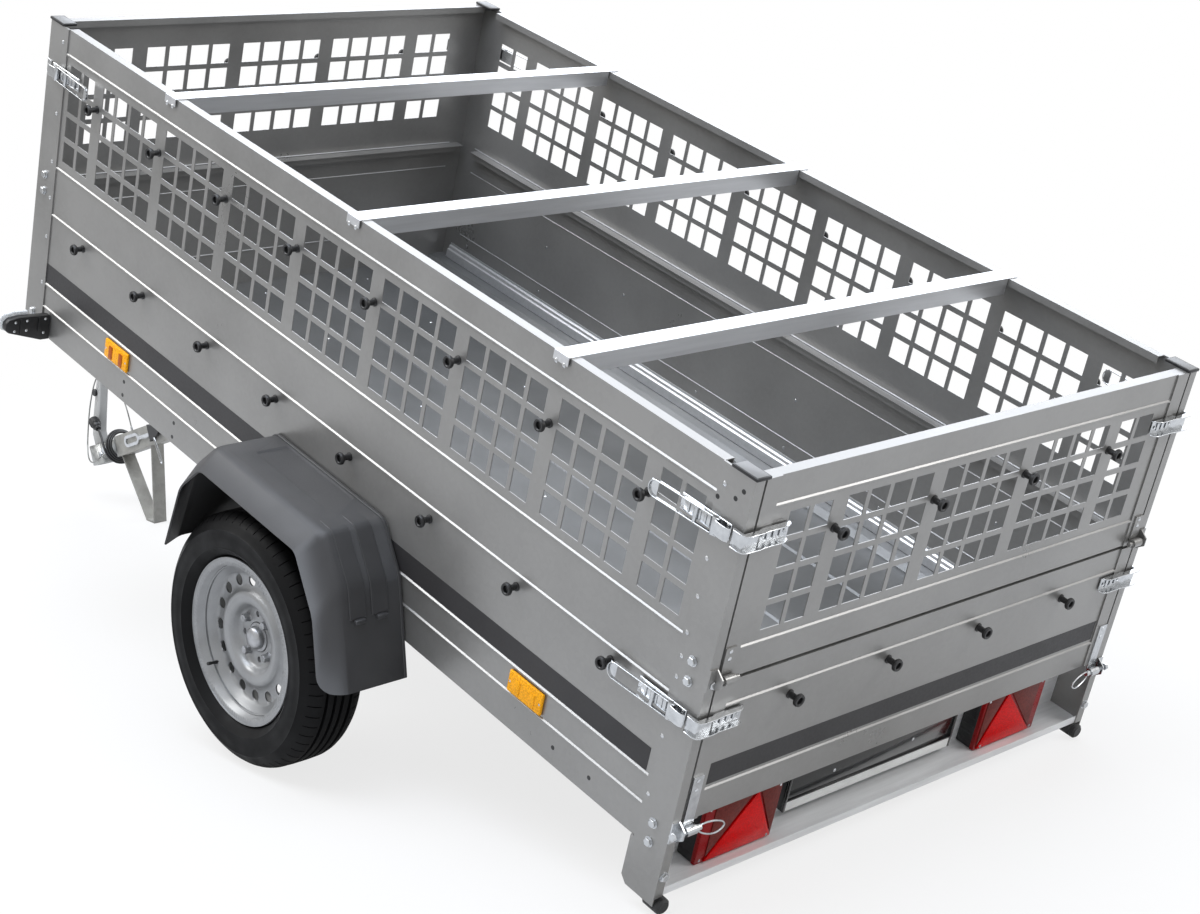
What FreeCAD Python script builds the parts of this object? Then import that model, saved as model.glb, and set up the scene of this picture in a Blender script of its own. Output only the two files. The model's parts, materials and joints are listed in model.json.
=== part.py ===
"""Tipping utility trailer with mesh extension sides, as a parametric FreeCAD document.

Three frames are used. The box frame has x forwards from the rear face, y to the left from the
middle and z up from the lower edge of the side walls. The drawbar frame has x forwards along the
beam from its hinge. The trailer's own frame has z up from the ground and its origin under the
middle of the whole. The box stands tipped back on its wheels and its two rear buffers, and the
drawbar's foot rests on the ground in front.
"""
import FreeCAD, Part
import math
import os
import Sketcher
from FreeCAD import Placement, Rotation, Vector

SIZES = [
    # name, value in mm or degrees, what it is
    ("box_length", 2372, "outer length of the box"),
    ("box_width", 1300, "outer width of the box"),
    ("side_height", 371, "height of the lower side walls"),
    ("mesh_height", 401, "height of the mesh extension"),
    ("sheet", 2, "sheet thickness of walls, floor and folded profiles"),
    ("post_sheet", 3, "sheet thickness of posts, and depth of the beads"),
    ("rim_width", 26, "inward fold along the top of a wall"),
    ("rim_lip", 16, "downward lip of that fold"),
    ("foot_fold", 30, "inward fold along the bottom of a wall"),
    ("bead_height", 8, "height of a rolled bead"),
    ("fascia_height", 60, "plain band above and below the mesh and at a wall's top"),
    ("low_bead_height", 72, "lowest bead of a side wall above its lower edge"),
    ("mid_bead_height", 131, "second bead of a side wall above its lower edge"),
    ("hole_size", 50, "square hole of the mesh"),
    ("column_pitch", 61, "from hole to hole along a wall"),
    ("row_pitch", 62.5, "from hole to hole up a wall"),
    ("group_pitch", 272.8, "from group to group of holes, one knob strip each"),
    ("post_width", 80, "side flange of a corner post"),
    ("post_return", 22, "end flange of a corner post"),
    ("leg_width", 88, "side flange of a rear post's lower part"),
    ("leg_length", 103, "how far a rear post reaches below the side wall"),
    ("cap_length", 62, "post cap along the side"),
    ("cap_width", 36, "post cap across the side"),
    ("cap_thickness", 7, "post cap"),
    ("gate_gap", 5, "side gap between a rear panel and the posts"),
    ("gate_end_strip", 38, "flat strip at each end of a rear panel"),
    ("gate_bottom", 72, "lower edge of the tailgate above the side's lower edge"),
    ("gate_top_gap", 7, "gap above the tailgate"),
    ("bar_width", 41, "cross bar"),
    ("bar_depth", 38, "cross bar"),
    ("bar_tab", 18, "tab of a cross bar outside the rim"),
    ("bar_clearance", 3, "from a cross bar's web to the rim's lip"),
    ("member_depth", 20, "cross member under the floor"),
    ("member_width", 60, "cross member under the floor"),
    ("kerb_width", 45, "raised edge of the floor"),
    ("kerb_height", 14, "raised edge of the floor"),
    ("rib_height", 4, "rib of the floor"),
    ("rib_width", 22, "rib of the floor"),
    ("rail_height", 50, "chassis rail"),
    ("rail_width", 32, "chassis rail"),
    ("rail_offset", 330, "chassis rail from the middle"),
    ("shelf_depth", 87, "rear rail from the rear face to its web"),
    ("shelf_drop", 88, "rear rail's underside below the side's lower edge"),
    ("shelf_lip", 17, "rear rail's upright lip"),
    ("ledge_start", 22, "rear rail's upper ledge from the rear face"),
    ("buffer_reach", 12, "rear buffer behind the rear face"),
    ("buffer_length", 42, "rear buffer"),
    ("lamp_width", 205, "rear lamp"),
    ("lamp_height", 132, "rear lamp"),
    ("lamp_gap_share", 0.29, "share of the room beside the plate that lies inside a rear lamp"),
    ("lamp_recess", 27, "rear lamp's lens behind the rear face"),
    ("lens_depth", 20, "rear lamp's lens"),
    ("plate_width", 510, "number plate holder"),
    ("plate_height", 96, "number plate holder"),
    ("plate_recess", 60, "number plate holder behind the rear face"),
    ("axle_station", 1107, "wheel centre from the rear face"),
    ("axle_drop", 150, "wheel centre below the side's lower edge"),
    ("track", 1500, "from wheel middle to wheel middle"),
    ("tyre_radius", 273.5, "outer radius of the tyre"),
    ("tyre_width", 156, "tyre across its sidewalls"),
    ("seat_radius", 165, "bead seat of the rim"),
    ("flange_radius", 179, "outer radius of the rim's flange"),
    ("rim_half", 62, "half the width of the rim over its flanges"),
    ("well_depth", 17, "drop centre of the rim under its bead seat"),
    ("rim_sheet", 3.5, "sheet thickness of the wheel"),
    ("disc_face", 14, "outer face of the wheel disc at its bolts over the tyre's middle"),
    ("vent_radius", 12, "vent hole of the wheel disc"),
    ("vent_circle", 126, "radius of the ring of vent holes"),
    ("bolt_circle", 50, "radius of the ring of wheel bolts"),
    ("bolt_hole", 6.5, "radius of a wheel bolt's hole"),
    ("spindle_radius", 15, "stub of the swing arm"),
    ("running_gap", 0.06, "radial clearance of a shaft in its bore"),
    ("tube_size", 60, "square tube of the axle and of the drawbar"),
    ("tube_wall", 3, "wall of those tubes"),
    ("arm_lead", 125, "axle tube ahead of the wheel centre"),
    ("arm_thickness", 24, "swing arm"),
    ("fender_width", 200, "fender outwards from the side wall"),
    ("fender_shoulder", 150, "flat part of the fender's crown"),
    ("fender_wall", 4, "wall of the fender"),
    ("tip_angle", 15.6, "how far the box is tipped back"),
    ("drawbar_slope", 20.6, "how far the drawbar slopes down to the front"),
    ("hinge_station", 2000, "drawbar hinge from the rear face"),
    ("hinge_drop", 85, "drawbar hinge below the side's lower edge"),
    ("beam_length", 1080, "drawbar beam ahead of its hinge"),
    ("beam_tail", 34, "drawbar beam behind its hinge"),
    ("hinge_pin_radius", 9, "drawbar hinge pin"),
    ("cheek_gap", 3, "side gap between the beam and the hinge bracket"),
    ("cheek_sheet", 6, "hinge bracket"),
    ("foot_station", 979, "drawbar foot ahead of the hinge"),
    ("foot_strap", 5, "flat bar of the drawbar foot"),
    ("foot_width", 40, "flat bar of the drawbar foot"),
    ("neck_width", 44, "coupling's neck"),
    ("neck_flange", 6, "coupling's flange on the beam"),
    ("coupling_height", 64, "coupling body"),
    ("socket_station", 1218, "middle of the ball socket ahead of the hinge"),
    ("socket_radius", 25.2, "ball socket"),
    ("handle_reach", 196, "coupling handle above the coupling"),
    ("handle_width", 28, "coupling handle"),
    ("lead_diameter", 7, "electric lead"),
    ("coil_inner", 34, "inner radius of the lead's coil"),
    ("coil_outer", 56, "outer radius of the lead's coil"),
    ("coil_width", 28, "the lead's coil along the neck"),
    ("cable_diameter", 4, "safety cable"),
    ("socket_depth", 24, "straight part of the ball socket"),
    ("gate_pin_radius", 5, "hinge pin of a rear panel"),
    ("gate_pin_reach", 11, "hinge pin behind the rear face"),
    ("gate_pin_drop", 12, "tailgate's hinge pin below its lower edge"),
    ("mesh_pin_rise", 10, "rear mesh panel's hinge pin above its lower edge"),
    ("knuckle_radius", 9, "hinge knuckle of a rear panel"),
    ("strap_width", 26, "hinge strap of a rear panel"),
    ("latch_height", 34, "over-centre latch and its keeper"),
    ("latch_plate", 124, "base plate of a latch along the post"),
    ("latch_start", 26, "latch from the box's corner"),
    ("latch_lever", 186, "lever of a latch along the wall"),
    ("gate_latch_station", 288, "tailgate's latch above the side's lower edge"),
    ("mesh_latch_station", 660, "mesh panel's latch above the side's lower edge"),
    ("keeper_reach", 112, "keeper along its end panel"),
    ("keeper_turn", 20, "keeper round the corner, along the post"),
    ("keeper_strap", 3, "sheet of a keeper"),
    ("hinge_ear", 44, "height of the ear that holds a rear panel's pin"),
    ("gate_strap", 112, "tailgate's hinge strap above its pin"),
    ("mesh_strap", 60, "rear mesh panel's hinge strap above its pin"),
    ("front_lamp_reach", 128, "front lamp outwards from the side"),
    ("front_lamp_depth", 34, "arm of a front lamp along the box"),
    ("front_lens_depth", 16, "lens of a front lamp ahead of the box"),
    ("keeper_clearance", 5, "from a keeper to the post that it wraps"),
    ("reflector_length", 100, "side reflector"),
    ("reflector_height", 46, "side reflector"),
    ("reflector_depth", 9, "side reflector"),
]

document = FreeCAD.newDocument("utility_trailer")
sheet_object = document.addObject("Spreadsheet::Sheet", "sizes")
for row, (name, value, meaning) in enumerate(SIZES, start=1):
    sheet_object.set("A%d" % row, meaning)
    sheet_object.set("B%d" % row, "%r" % value)
    sheet_object.setAlias("B%d" % row, name)
document.recompute()


class Size:
    """A size from the sheet or worked out from several, with the expression that binds it."""

    def __init__(self, value, text):
        self.value = float(value)
        self.text = text

    def __add__(self, other):
        other = size_of(other)
        return Size(self.value + other.value, "(%s + %s)" % (self.text, other.text))

    def __sub__(self, other):
        other = size_of(other)
        return Size(self.value - other.value, "(%s - %s)" % (self.text, other.text))

    def __mul__(self, other):
        other = size_of(other)
        return Size(self.value * other.value, "(%s * %s)" % (self.text, other.text))

    def __truediv__(self, other):
        other = size_of(other)
        return Size(self.value / other.value, "(%s / %s)" % (self.text, other.text))

    def __neg__(self):
        return Size(-self.value, "(0 - %s)" % self.text)

    def __radd__(self, other):
        return size_of(other) + self

    def __rsub__(self, other):
        return size_of(other) - self

    def __rmul__(self, other):
        return size_of(other) * self


def size_of(number):
    """A plain number as a Size, and a Size as it is."""
    if isinstance(number, Size):
        return number
    return Size(number, "(%r)" % float(number))


def sine(angle):
    return Size(math.sin(math.radians(angle.value)), "sin(%s * 1deg)" % angle.text)


def cosine(angle):
    return Size(math.cos(math.radians(angle.value)), "cos(%s * 1deg)" % angle.text)


class Sheet:
    """The sheet's cells as attributes."""

    def __getattr__(self, name):
        return Size(sheet_object.get(name), "sizes.%s" % name)


size = Sheet()
SIDES = (1, -1)

half_width = size.box_width / 2
half_track = size.track / 2
wall_top = size.side_height + size.mesh_height
skin = size.post_sheet + size.sheet
gate_half = half_width - size.post_return - size.gate_gap
gate_height = size.side_height - size.gate_bottom - size.gate_top_gap
floor_height = size.sheet + size.member_depth + size.sheet


# ---------------------------------------------------------------- bodies, sketches and features
def new_body(label):
    body = document.addObject("PartDesign::Body", label)
    body.Label = label
    body.AllowCompound = True
    return body


def new_sketch(body, plane, offset=0):
    """An empty sketch on one of the body's origin planes, moved along the plane's normal."""
    sketch = body.newObject("Sketcher::SketchObject", "Sketch")
    role = plane + "_Plane"
    support = [item for item in body.Origin.OriginFeatures if item.Role == role][0]
    offset = size_of(offset)
    sketch.AttachmentSupport = [(support, "")]
    sketch.MapMode = "FlatFace"
    sketch.AttachmentOffset = Placement(Vector(0, 0, offset.value), Rotation())
    sketch.setExpression("AttachmentOffset.Base.z", offset.text)
    return sketch


def place_point(sketch, geometry, point, across, up):
    """Holds a point of the sketch at a place given by two sizes."""
    for kind, place in (("DistanceX", across), ("DistanceY", up)):
        constraint = Sketcher.Constraint(kind, -1, 1, geometry, point, place.value)
        index = sketch.addConstraint(constraint)
        sketch.setExpression("Constraints[%d]" % index, place.text)


def draw_outline(sketch, points):
    """A closed outline of straight lines through (across, up) pairs."""
    points = [(size_of(across), size_of(up)) for across, up in points]
    first = sketch.GeometryCount
    count = len(points)
    for index in range(count):
        start, end = points[index], points[(index + 1) % count]
        line = Part.LineSegment(
            Vector(start[0].value, start[1].value, 0), Vector(end[0].value, end[1].value, 0)
        )
        sketch.addGeometry(line)
    for index in range(count):
        following = first + (index + 1) % count
        sketch.addConstraint(Sketcher.Constraint("Coincident", first + index, 2, following, 1))
    for index, (across, up) in enumerate(points):
        place_point(sketch, first + index, 1, across, up)


def draw_rectangle(sketch, left, right, low, high):
    draw_outline(sketch, [(left, low), (right, low), (right, high), (left, high)])


def draw_circle(sketch, across, up, radius):
    across, up, radius = size_of(across), size_of(up), size_of(radius)
    centre = Vector(across.value, up.value, 0)
    index = sketch.addGeometry(Part.Circle(centre, Vector(0, 0, 1), radius.value))
    place_point(sketch, index, 3, across, up)
    constraint = sketch.addConstraint(Sketcher.Constraint("Radius", index, radius.value))
    sketch.setExpression("Constraints[%d]" % constraint, radius.text)


def add_extrusion(body, kind, sketch, length, centred=False, backwards=False):
    length = size_of(length)
    feature = body.newObject("PartDesign::" + kind, kind)
    feature.Profile = sketch
    feature.Length = length.value
    feature.setExpression("Length", length.text)
    feature.Midplane = centred
    feature.Reversed = backwards
    return feature


def pad(body, plane, draw, length, offset=0, centred=False, backwards=False):
    """Draws a sketch with the given function and pads it."""
    sketch = new_sketch(body, plane, offset)
    draw(sketch)
    return add_extrusion(body, "Pad", sketch, length, centred, backwards)


def pocket(body, plane, draw, length, offset=0, centred=False, backwards=False):
    sketch = new_sketch(body, plane, offset)
    draw(sketch)
    return add_extrusion(body, "Pocket", sketch, length, centred, backwards)


def pad_block(body, x_range, y_range, z_range):
    """A block between three pairs of sizes."""
    (x_low, x_high), (y_low, y_high), (z_low, z_high) = x_range, y_range, z_range
    pad(
        body,
        "XY",
        lambda sketch: draw_rectangle(sketch, x_low, x_high, y_low, y_high),
        size_of(z_high) - z_low,
        offset=z_low,
    )


def pad_plates(body, outline, stations, thickness):
    """The same upright plate, drawn on (x, z), at each y in stations, thickness to the left."""
    for station in stations:
        pad(
            body,
            "XZ",
            lambda sketch: draw_outline(sketch, outline),
            thickness,
            offset=-size_of(station),
            backwards=True,
        )


def pad_rod(body, plane, across, up, radius, start, length, backwards=False):
    pad(body, plane, lambda s: draw_circle(s, across, up, radius), length, start, False, backwards)


def repeat(body, feature, steps):
    """Repeats a feature by (sketch axis, count, spacing) steps, each repeating the ones before."""
    sketch = feature.Profile[0]
    transform = body.newObject("PartDesign::MultiTransform", "Repeat")
    transform.Originals = [feature]
    patterns = []
    for axis, count, spacing in steps:
        pattern = body.newObject("PartDesign::LinearPattern", "Pattern")
        pattern.Direction = (sketch, [axis])
        pattern.Occurrences = count
        pattern.Mode = "Spacing"
        pattern.Offset = size_of(spacing).value
        pattern.setExpression("Offset", size_of(spacing).text)
        patterns.append(pattern)
    transform.Transformations = patterns
    body.Tip = transform
    return transform


def mirror_left_right(body, features):
    """Mirrors features to the other side of the trailer."""
    mirrored = body.newObject("PartDesign::Mirrored", "Mirror")
    plane = [item for item in body.Origin.OriginFeatures if item.Role == "XZ_Plane"][0]
    mirrored.Originals = features
    mirrored.MirrorPlane = (plane, [""])
    body.Tip = mirrored
    return mirrored


def features_of(body):
    return [item for item in body.Group if item.isDerivedFrom("PartDesign::FeatureAddSub")]


def mirror_all(body):
    mirror_left_right(body, features_of(body))


# ---------------------------------------------------------------- where the frames lie
tip_sine = sine(size.tip_angle)
tip_cosine = cosine(size.tip_angle)


def height_over_ground(x, z):
    """Height over the ground of a point of the tipped box."""
    ahead = size_of(x) - size.axle_station
    above = size_of(z) + size.axle_drop
    return size.tyre_radius + ahead * tip_sine + above * tip_cosine


def box_placement(shift):
    turn = Rotation(Vector(0, 1, 0), -size.tip_angle.value)
    axle = Vector(size.axle_station.value, 0, -size.axle_drop.value)
    ground = Vector(shift, 0, size.tyre_radius.value)
    return Placement(ground, turn).multiply(Placement(-axle, Rotation()))


def drawbar_placement(shift):
    hinge = Vector(size.hinge_station.value, 0, -size.hinge_drop.value)
    turn = Rotation(Vector(0, 1, 0), size.drawbar_slope.value)
    return Placement(box_placement(shift).multVec(hinge), turn)


def wheel_placement(shift, side):
    centre = Vector(shift, side * half_track.value, size.tyre_radius.value)
    turn = Rotation(Vector(1, 0, 0), -90 * side)
    return Placement(centre, turn)


in_box, in_drawbar, in_wheels = [], [], []
local_places = {}


def keep(body, group, local=None):
    """Says which frame a finished body belongs to, and where it lies in that frame."""
    group.append(body)
    local_places[body.Name] = local or Placement()
    return body


# ---------------------------------------------------------------- folded walls
def wall_section(height, beads):
    """Section of a folded wall: foot, beaded skin, rim and lip. Outwards is +y, post face y = 0."""
    sheet = size.sheet
    outer, rising = [], size_of(0) - size.post_sheet
    for bead in beads:
        outer += [
            (rising, bead - size.bead_height / 2),
            (size_of(0), bead - size.bead_height / 6),
            (size_of(0), bead + size.bead_height / 6),
            (rising, bead + size.bead_height / 2),
        ]
    inner = [(across - sheet, up) for across, up in reversed(outer)]
    foot = [(rising - size.foot_fold, size_of(0)), (rising, size_of(0))]
    rim = [
        (rising, height),
        (-size.rim_width, height),
        (-size.rim_width, height - size.rim_lip),
        (sheet - size.rim_width, height - size.rim_lip),
        (sheet - size.rim_width, height - sheet),
        (rising - sheet, height - sheet),
    ]
    toe = [(rising - sheet, sheet), (rising - size.foot_fold, sheet)]
    return foot + outer + rim + inner + toe


def cut_mesh(body, groups):
    """Square holes: full groups of four columns, and a half group of two at each end."""
    first_row = (size.mesh_height - size.row_pitch * 3) / 2 + size.sheet - size.hole_size / 2
    group_half = size.column_pitch * 1.5 + size.hole_size / 2

    def cut(left, steps):
        feature = pocket(
            body,
            "XZ",
            lambda sketch: draw_rectangle(
                sketch, left, left + size.hole_size, first_row, first_row + size.hole_size
            ),
            size.rim_width,
            centred=True,
        )
        repeat(body, feature, steps)

    first_group = -group_half - size.group_pitch * ((groups - 1) / 2)
    rows = ("V_Axis", 4, size.row_pitch)
    columns = ("H_Axis", 4, size.column_pitch)
    cut(first_group, [rows, columns, ("H_Axis", groups, size.group_pitch)])
    end_group = first_group - size.group_pitch + size.column_pitch * 2
    other_end = -end_group - size.column_pitch - size.hole_size
    end_columns = ("H_Axis", 2, size.column_pitch)
    cut(end_group, [rows, end_columns, ("H_Axis", 2, other_end - end_group)])


def folded_wall(label, length, height, beads, skin_length=None, strips=False, groups=0):
    """A wall along x, its middle at x = 0, its foot at z = 0 and the posts' face at y = 0."""
    body = new_body(label)
    outline = wall_section(height, beads)
    pad(body, "YZ", lambda sketch: draw_outline(sketch, outline), length, centred=True)
    if skin_length is not None:
        pad(
            body,
            "YZ",
            lambda sketch: draw_rectangle(sketch, -skin, -size.post_sheet, 0, height),
            skin_length,
            centred=True,
        )
    if strips:
        for end in SIDES:
            outer_end = length / 2 * end
            inner_end = (length / 2 - size.gate_end_strip) * end
            lining = (length / 2 - size.sheet) * end
            low, high = sorted((outer_end, inner_end), key=lambda place: place.value)
            pad_block(body, (low, high), (-size.post_sheet, 0), (0, height))
            low, high = sorted((outer_end, lining), key=lambda place: place.value)
            pad_block(body, (low, high), (-size.rim_width, -size.post_sheet), (0, height))
    if groups:
        cut_mesh(body, groups)
    return body


side_beads = [size.low_bead_height, size.mid_bead_height, size.side_height - size.fascia_height]
mesh_beads = [size.fascia_height, size.mesh_height - size.fascia_height]
gate_beads = [
    size.mid_bead_height - size.gate_bottom,
    size.side_height - size.fascia_height - size.gate_bottom,
]
side_run = size.box_length - size.post_width * 2
side_skin = size.box_length - size.post_sheet * 2
front_run = size.box_width - size.post_return * 2
front_skin = size.box_width - skin * 2
LEFT, RIGHT, FRONT, REAR = 0, 180, -90, 90

WALLS = [
    # node, faces, length, bottom, height, beads, skin under posts, end strips, groups of holes
    ("side_wall_left", LEFT, side_run, 0, size.side_height, side_beads, side_skin, False, 0),
    ("side_wall_right", RIGHT, side_run, 0, size.side_height, side_beads, side_skin, False, 0),
    ("front_wall", FRONT, front_run, 0, size.side_height, side_beads, front_skin, False, 0),
    ("mesh_side_left", LEFT, side_run, size.side_height, size.mesh_height, mesh_beads, side_skin,
     False, 7),
    ("mesh_side_right", RIGHT, side_run, size.side_height, size.mesh_height, mesh_beads,
     side_skin, False, 7),
    ("mesh_front", FRONT, front_run, size.side_height, size.mesh_height, mesh_beads, front_skin,
     False, 3),
    ("tailgate", REAR, gate_half * 2, size.gate_bottom, gate_height, gate_beads, None, True, 0),
    ("mesh_rear", REAR, gate_half * 2, size.side_height, size.mesh_height, mesh_beads, None,
     True, 3),
]
WALL_PLACES = {
    LEFT: (size.box_length / 2, half_width),
    RIGHT: (size.box_length / 2, -half_width),
    FRONT: (size.box_length, size_of(0)),
    REAR: (size_of(0), size_of(0)),
}
for node, faces, length, bottom, height, beads, skin_length, strips, groups in WALLS:
    wall = folded_wall(node, length, height, beads, skin_length, strips, groups)
    x, y = WALL_PLACES[faces]
    base = Vector(x.value, y.value, size_of(bottom).value)
    keep(wall, in_box, Placement(base, Rotation(Vector(0, 0, 1), faces)))


# ---------------------------------------------------------------- posts, caps and cross bars
def corner_post(sketch, front, width):
    """L section: a side flange and an end flange round the corner."""
    end = size.box_length if front else size_of(0)
    inwards = -1 if front else 1
    outline = [
        (end, half_width),
        (end, half_width - size.post_return),
        (end + size.post_sheet * inwards, half_width - size.post_return),
        (end + size.post_sheet * inwards, half_width - size.post_sheet),
        (end + width * inwards, half_width - size.post_sheet),
        (end + width * inwards, half_width),
    ]
    draw_outline(sketch, outline)


POSTS = [
    # node, at the front, flange width, bottom, top
    ("front_posts", True, size.post_width, size_of(8), size.side_height),
    ("rear_posts", False, size.post_width, size_of(0), size.side_height),
    ("front_extension_posts", True, size.post_width, size.side_height, wall_top),
    ("rear_extension_posts", False, size.post_width, size.side_height, wall_top),
]
for node, front, width, bottom, top in POSTS:
    posts = new_body(node)
    pad(posts, "XY", lambda sketch: corner_post(sketch, front, width), top - bottom, bottom)
    if node == "rear_posts":
        pad(
            posts,
            "XY",
            lambda sketch: corner_post(sketch, front, size.leg_width),
            size.shelf_drop,
            -size.shelf_drop,
        )
        corner = 14
        leg = [
            (0, -size.shelf_drop),
            (0, -size.leg_length),
            (size.leg_width - corner, -size.leg_length),
            (size.leg_width, corner - size.leg_length),
            (size.leg_width, -size.shelf_drop),
        ]
        pad_plates(posts, leg, [half_width - size.post_sheet], size.post_sheet)
    mirror_all(posts)
    keep(posts, in_box)

caps = new_body("post_caps")
cap_overhang = 3
for low in (size_of(-cap_overhang), size.box_length + cap_overhang - size.cap_length):
    pad_block(
        caps,
        (low, low + size.cap_length),
        (half_width + cap_overhang - size.cap_width, half_width + cap_overhang),
        (wall_top, wall_top + size.cap_thickness),
    )
mirror_all(caps)
keep(caps, in_box)

bars = new_body("cross_bars")
BAR_STATIONS = [size_of(503), size_of(1150), size_of(1841)]
web_half = half_width - size.rim_width - size.bar_clearance
for station in BAR_STATIONS:
    left, right = station - size.bar_width / 2, station + size.bar_width / 2
    top = wall_top + size.sheet
    channel = [
        (left, top),
        (left, top - size.bar_depth),
        (left + size.sheet, top - size.bar_depth),
        (left + size.sheet, wall_top),
        (right - size.sheet, wall_top),
        (right - size.sheet, top - size.bar_depth),
        (right, top - size.bar_depth),
        (right, top),
    ]
    pad(bars, "XZ", lambda sketch: draw_outline(sketch, channel), web_half * 2, centred=True)
    plate_half = half_width + size.sheet
    pad_block(bars, (left, right), (-plate_half, plate_half), (wall_top, top))
    for low in (half_width, -plate_half):
        pad_block(bars, (left, right), (low, low + size.sheet), (top - size.bar_tab, wall_top))
keep(bars, in_box)


# ---------------------------------------------------------------- floor and chassis
def floor_section(sketch):
    """Floor sheet across the box, with a raised kerb at each side and upward ribs."""
    edge = half_width - skin
    top = floor_height
    ribs = [edge * share for share in (-0.62, -0.21, 0.21, 0.62)]
    line = [
        (-edge, top + size.kerb_height),
        (size.kerb_width - edge, top + size.kerb_height),
        (size.kerb_width + size.kerb_height - edge, top),
    ]
    for rib in ribs:
        line += [
            (rib - size.rib_width / 2, top),
            (rib - size.rib_width / 4, top + size.rib_height),
            (rib + size.rib_width / 4, top + size.rib_height),
            (rib + size.rib_width / 2, top),
        ]
    line += [
        (edge - size.kerb_width - size.kerb_height, top),
        (edge - size.kerb_width, top + size.kerb_height),
        (edge, top + size.kerb_height),
    ]
    under = [(across, up - size.sheet) for across, up in reversed(line)]
    draw_outline(sketch, line + under)


floor = new_body("floor")
floor_start = size.shelf_depth
pad(floor, "YZ", floor_section, size.box_length - skin - floor_start, floor_start)
keep(floor, in_box)

members = new_body("floor_members")
member_half = half_width - skin
MEMBER_STATIONS = [size_of(160), size_of(640), size_of(1120), size_of(1600), size.hinge_station,
                   size.box_length - size.post_width]
for station in MEMBER_STATIONS:
    low = size.sheet
    high = floor_height - size.sheet
    left, right = station - size.member_width / 2, station + size.member_width / 2
    brim = size.member_width / 4
    hat = [
        (left, low),
        (left + brim, low),
        (left + brim, high - size.sheet),
        (right - brim, high - size.sheet),
        (right - brim, low),
        (right, low),
        (right, low + size.sheet),
        (right - brim + size.sheet, low + size.sheet),
        (right - brim + size.sheet, high),
        (left + brim - size.sheet, high),
        (left + brim - size.sheet, low + size.sheet),
        (left, low + size.sheet),
    ]
    pad(members, "XZ", lambda sketch: draw_outline(sketch, hat), member_half * 2, centred=True)
keep(members, in_box)

rails = new_body("chassis_rails")
rail_top = size.sheet
rail_bottom = rail_top - size.rail_height
rail_start = size.shelf_depth
rail_end = size.box_length - skin - size.foot_fold
rail_outline = [
    (size.rail_offset, rail_top),
    (size.rail_offset, rail_bottom),
    (size.rail_offset + size.rail_width, rail_bottom),
    (size.rail_offset + size.rail_width, rail_bottom + size.post_sheet),
    (size.rail_offset + size.post_sheet, rail_bottom + size.post_sheet),
    (size.rail_offset + size.post_sheet, rail_top - size.post_sheet),
    (size.rail_offset + size.rail_width, rail_top - size.post_sheet),
    (size.rail_offset + size.rail_width, rail_top),
]
pad(rails, "YZ", lambda s: draw_outline(s, rail_outline), rail_end - rail_start, rail_start)
mirror_all(rails)
keep(rails, in_box)

shelf = new_body("rear_rail")
shelf_half = half_width - size.post_sheet
ledge_half = half_width - skin - size.foot_fold
ledge = size.gate_bottom - size.post_sheet
shelf_outline = [
    (size.post_sheet, -size.shelf_drop),
    (size.shelf_depth, -size.shelf_drop),
    (size.shelf_depth, size_of(0)),
    (size.shelf_depth - size.sheet, size_of(0)),
    (size.shelf_depth - size.sheet, size.sheet - size.shelf_drop),
    (size.post_sheet + size.sheet, size.sheet - size.shelf_drop),
    (size.post_sheet + size.sheet, size.shelf_lip - size.shelf_drop),
    (size.post_sheet, size.shelf_lip - size.shelf_drop),
]
ledge_outline = [
    (size.shelf_depth - size.sheet, size_of(0)),
    (size.shelf_depth, size_of(0)),
    (size.shelf_depth, ledge),
    (size.ledge_start, ledge),
    (size.ledge_start, ledge - size.sheet),
    (size.shelf_depth - size.sheet, ledge - size.sheet),
]
pad(shelf, "XZ", lambda s: draw_outline(s, shelf_outline), shelf_half * 2, centred=True)
pad(shelf, "XZ", lambda s: draw_outline(s, ledge_outline), ledge_half * 2, centred=True)
keep(shelf, in_box)

buffers = new_body("rear_buffers")
ground_here = (size.tyre_radius - (size.axle_station + size.buffer_reach) * tip_sine) / tip_cosine
buffer_bottom = -size.axle_drop - ground_here
buffer_radius = (-size.shelf_drop - buffer_bottom) / 2
pad_rod(
    buffers,
    "YZ",
    half_width - size.post_sheet - buffer_radius,
    -size.shelf_drop - buffer_radius,
    buffer_radius,
    -size.buffer_reach,
    size.buffer_length,
)
mirror_all(buffers)
keep(buffers, in_box)


# ---------------------------------------------------------------- lamps, plate and reflectors
lamp_bottom = size.sheet - size.shelf_drop
lamp_room = half_width - size.plate_width / 2 - size.lamp_width
lamp_inner = size.plate_width / 2 + lamp_room * size.lamp_gap_share
lamp_outer = lamp_inner + size.lamp_width
lenses = new_body("rear_lamp_lenses")
housings = new_body("rear_lamp_housings")
lens_back = size.lamp_recess + size.lens_depth
for body, front_face, back_face in (
    (lenses, size.lamp_recess, lens_back),
    (housings, lens_back, size.shelf_depth - size.sheet),
):
    pad_block(
        body,
        (front_face, back_face),
        (lamp_inner, lamp_outer),
        (lamp_bottom, lamp_bottom + size.lamp_height),
    )
    mirror_all(body)
    keep(body, in_box)

plate = new_body("number_plate_holder")
plate_top = ledge - size.sheet
pad_block(
    plate,
    (size.plate_recess, size.shelf_depth - size.sheet),
    (-size.plate_width / 2, size.plate_width / 2),
    (plate_top - size.plate_height, plate_top),
)
keep(plate, in_box)

reflectors = new_body("side_reflectors")
reflector_bottom = (size.low_bead_height + size.mid_bead_height - size.reflector_height) / 2
reflector_face = half_width - size.post_sheet
for station in (size_of(420), size_of(1942)):
    pad_block(
        reflectors,
        (station - size.reflector_length / 2, station + size.reflector_length / 2),
        (reflector_face, reflector_face + size.reflector_depth),
        (reflector_bottom, reflector_bottom + size.reflector_height),
    )
mirror_all(reflectors)
keep(reflectors, in_box)

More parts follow.
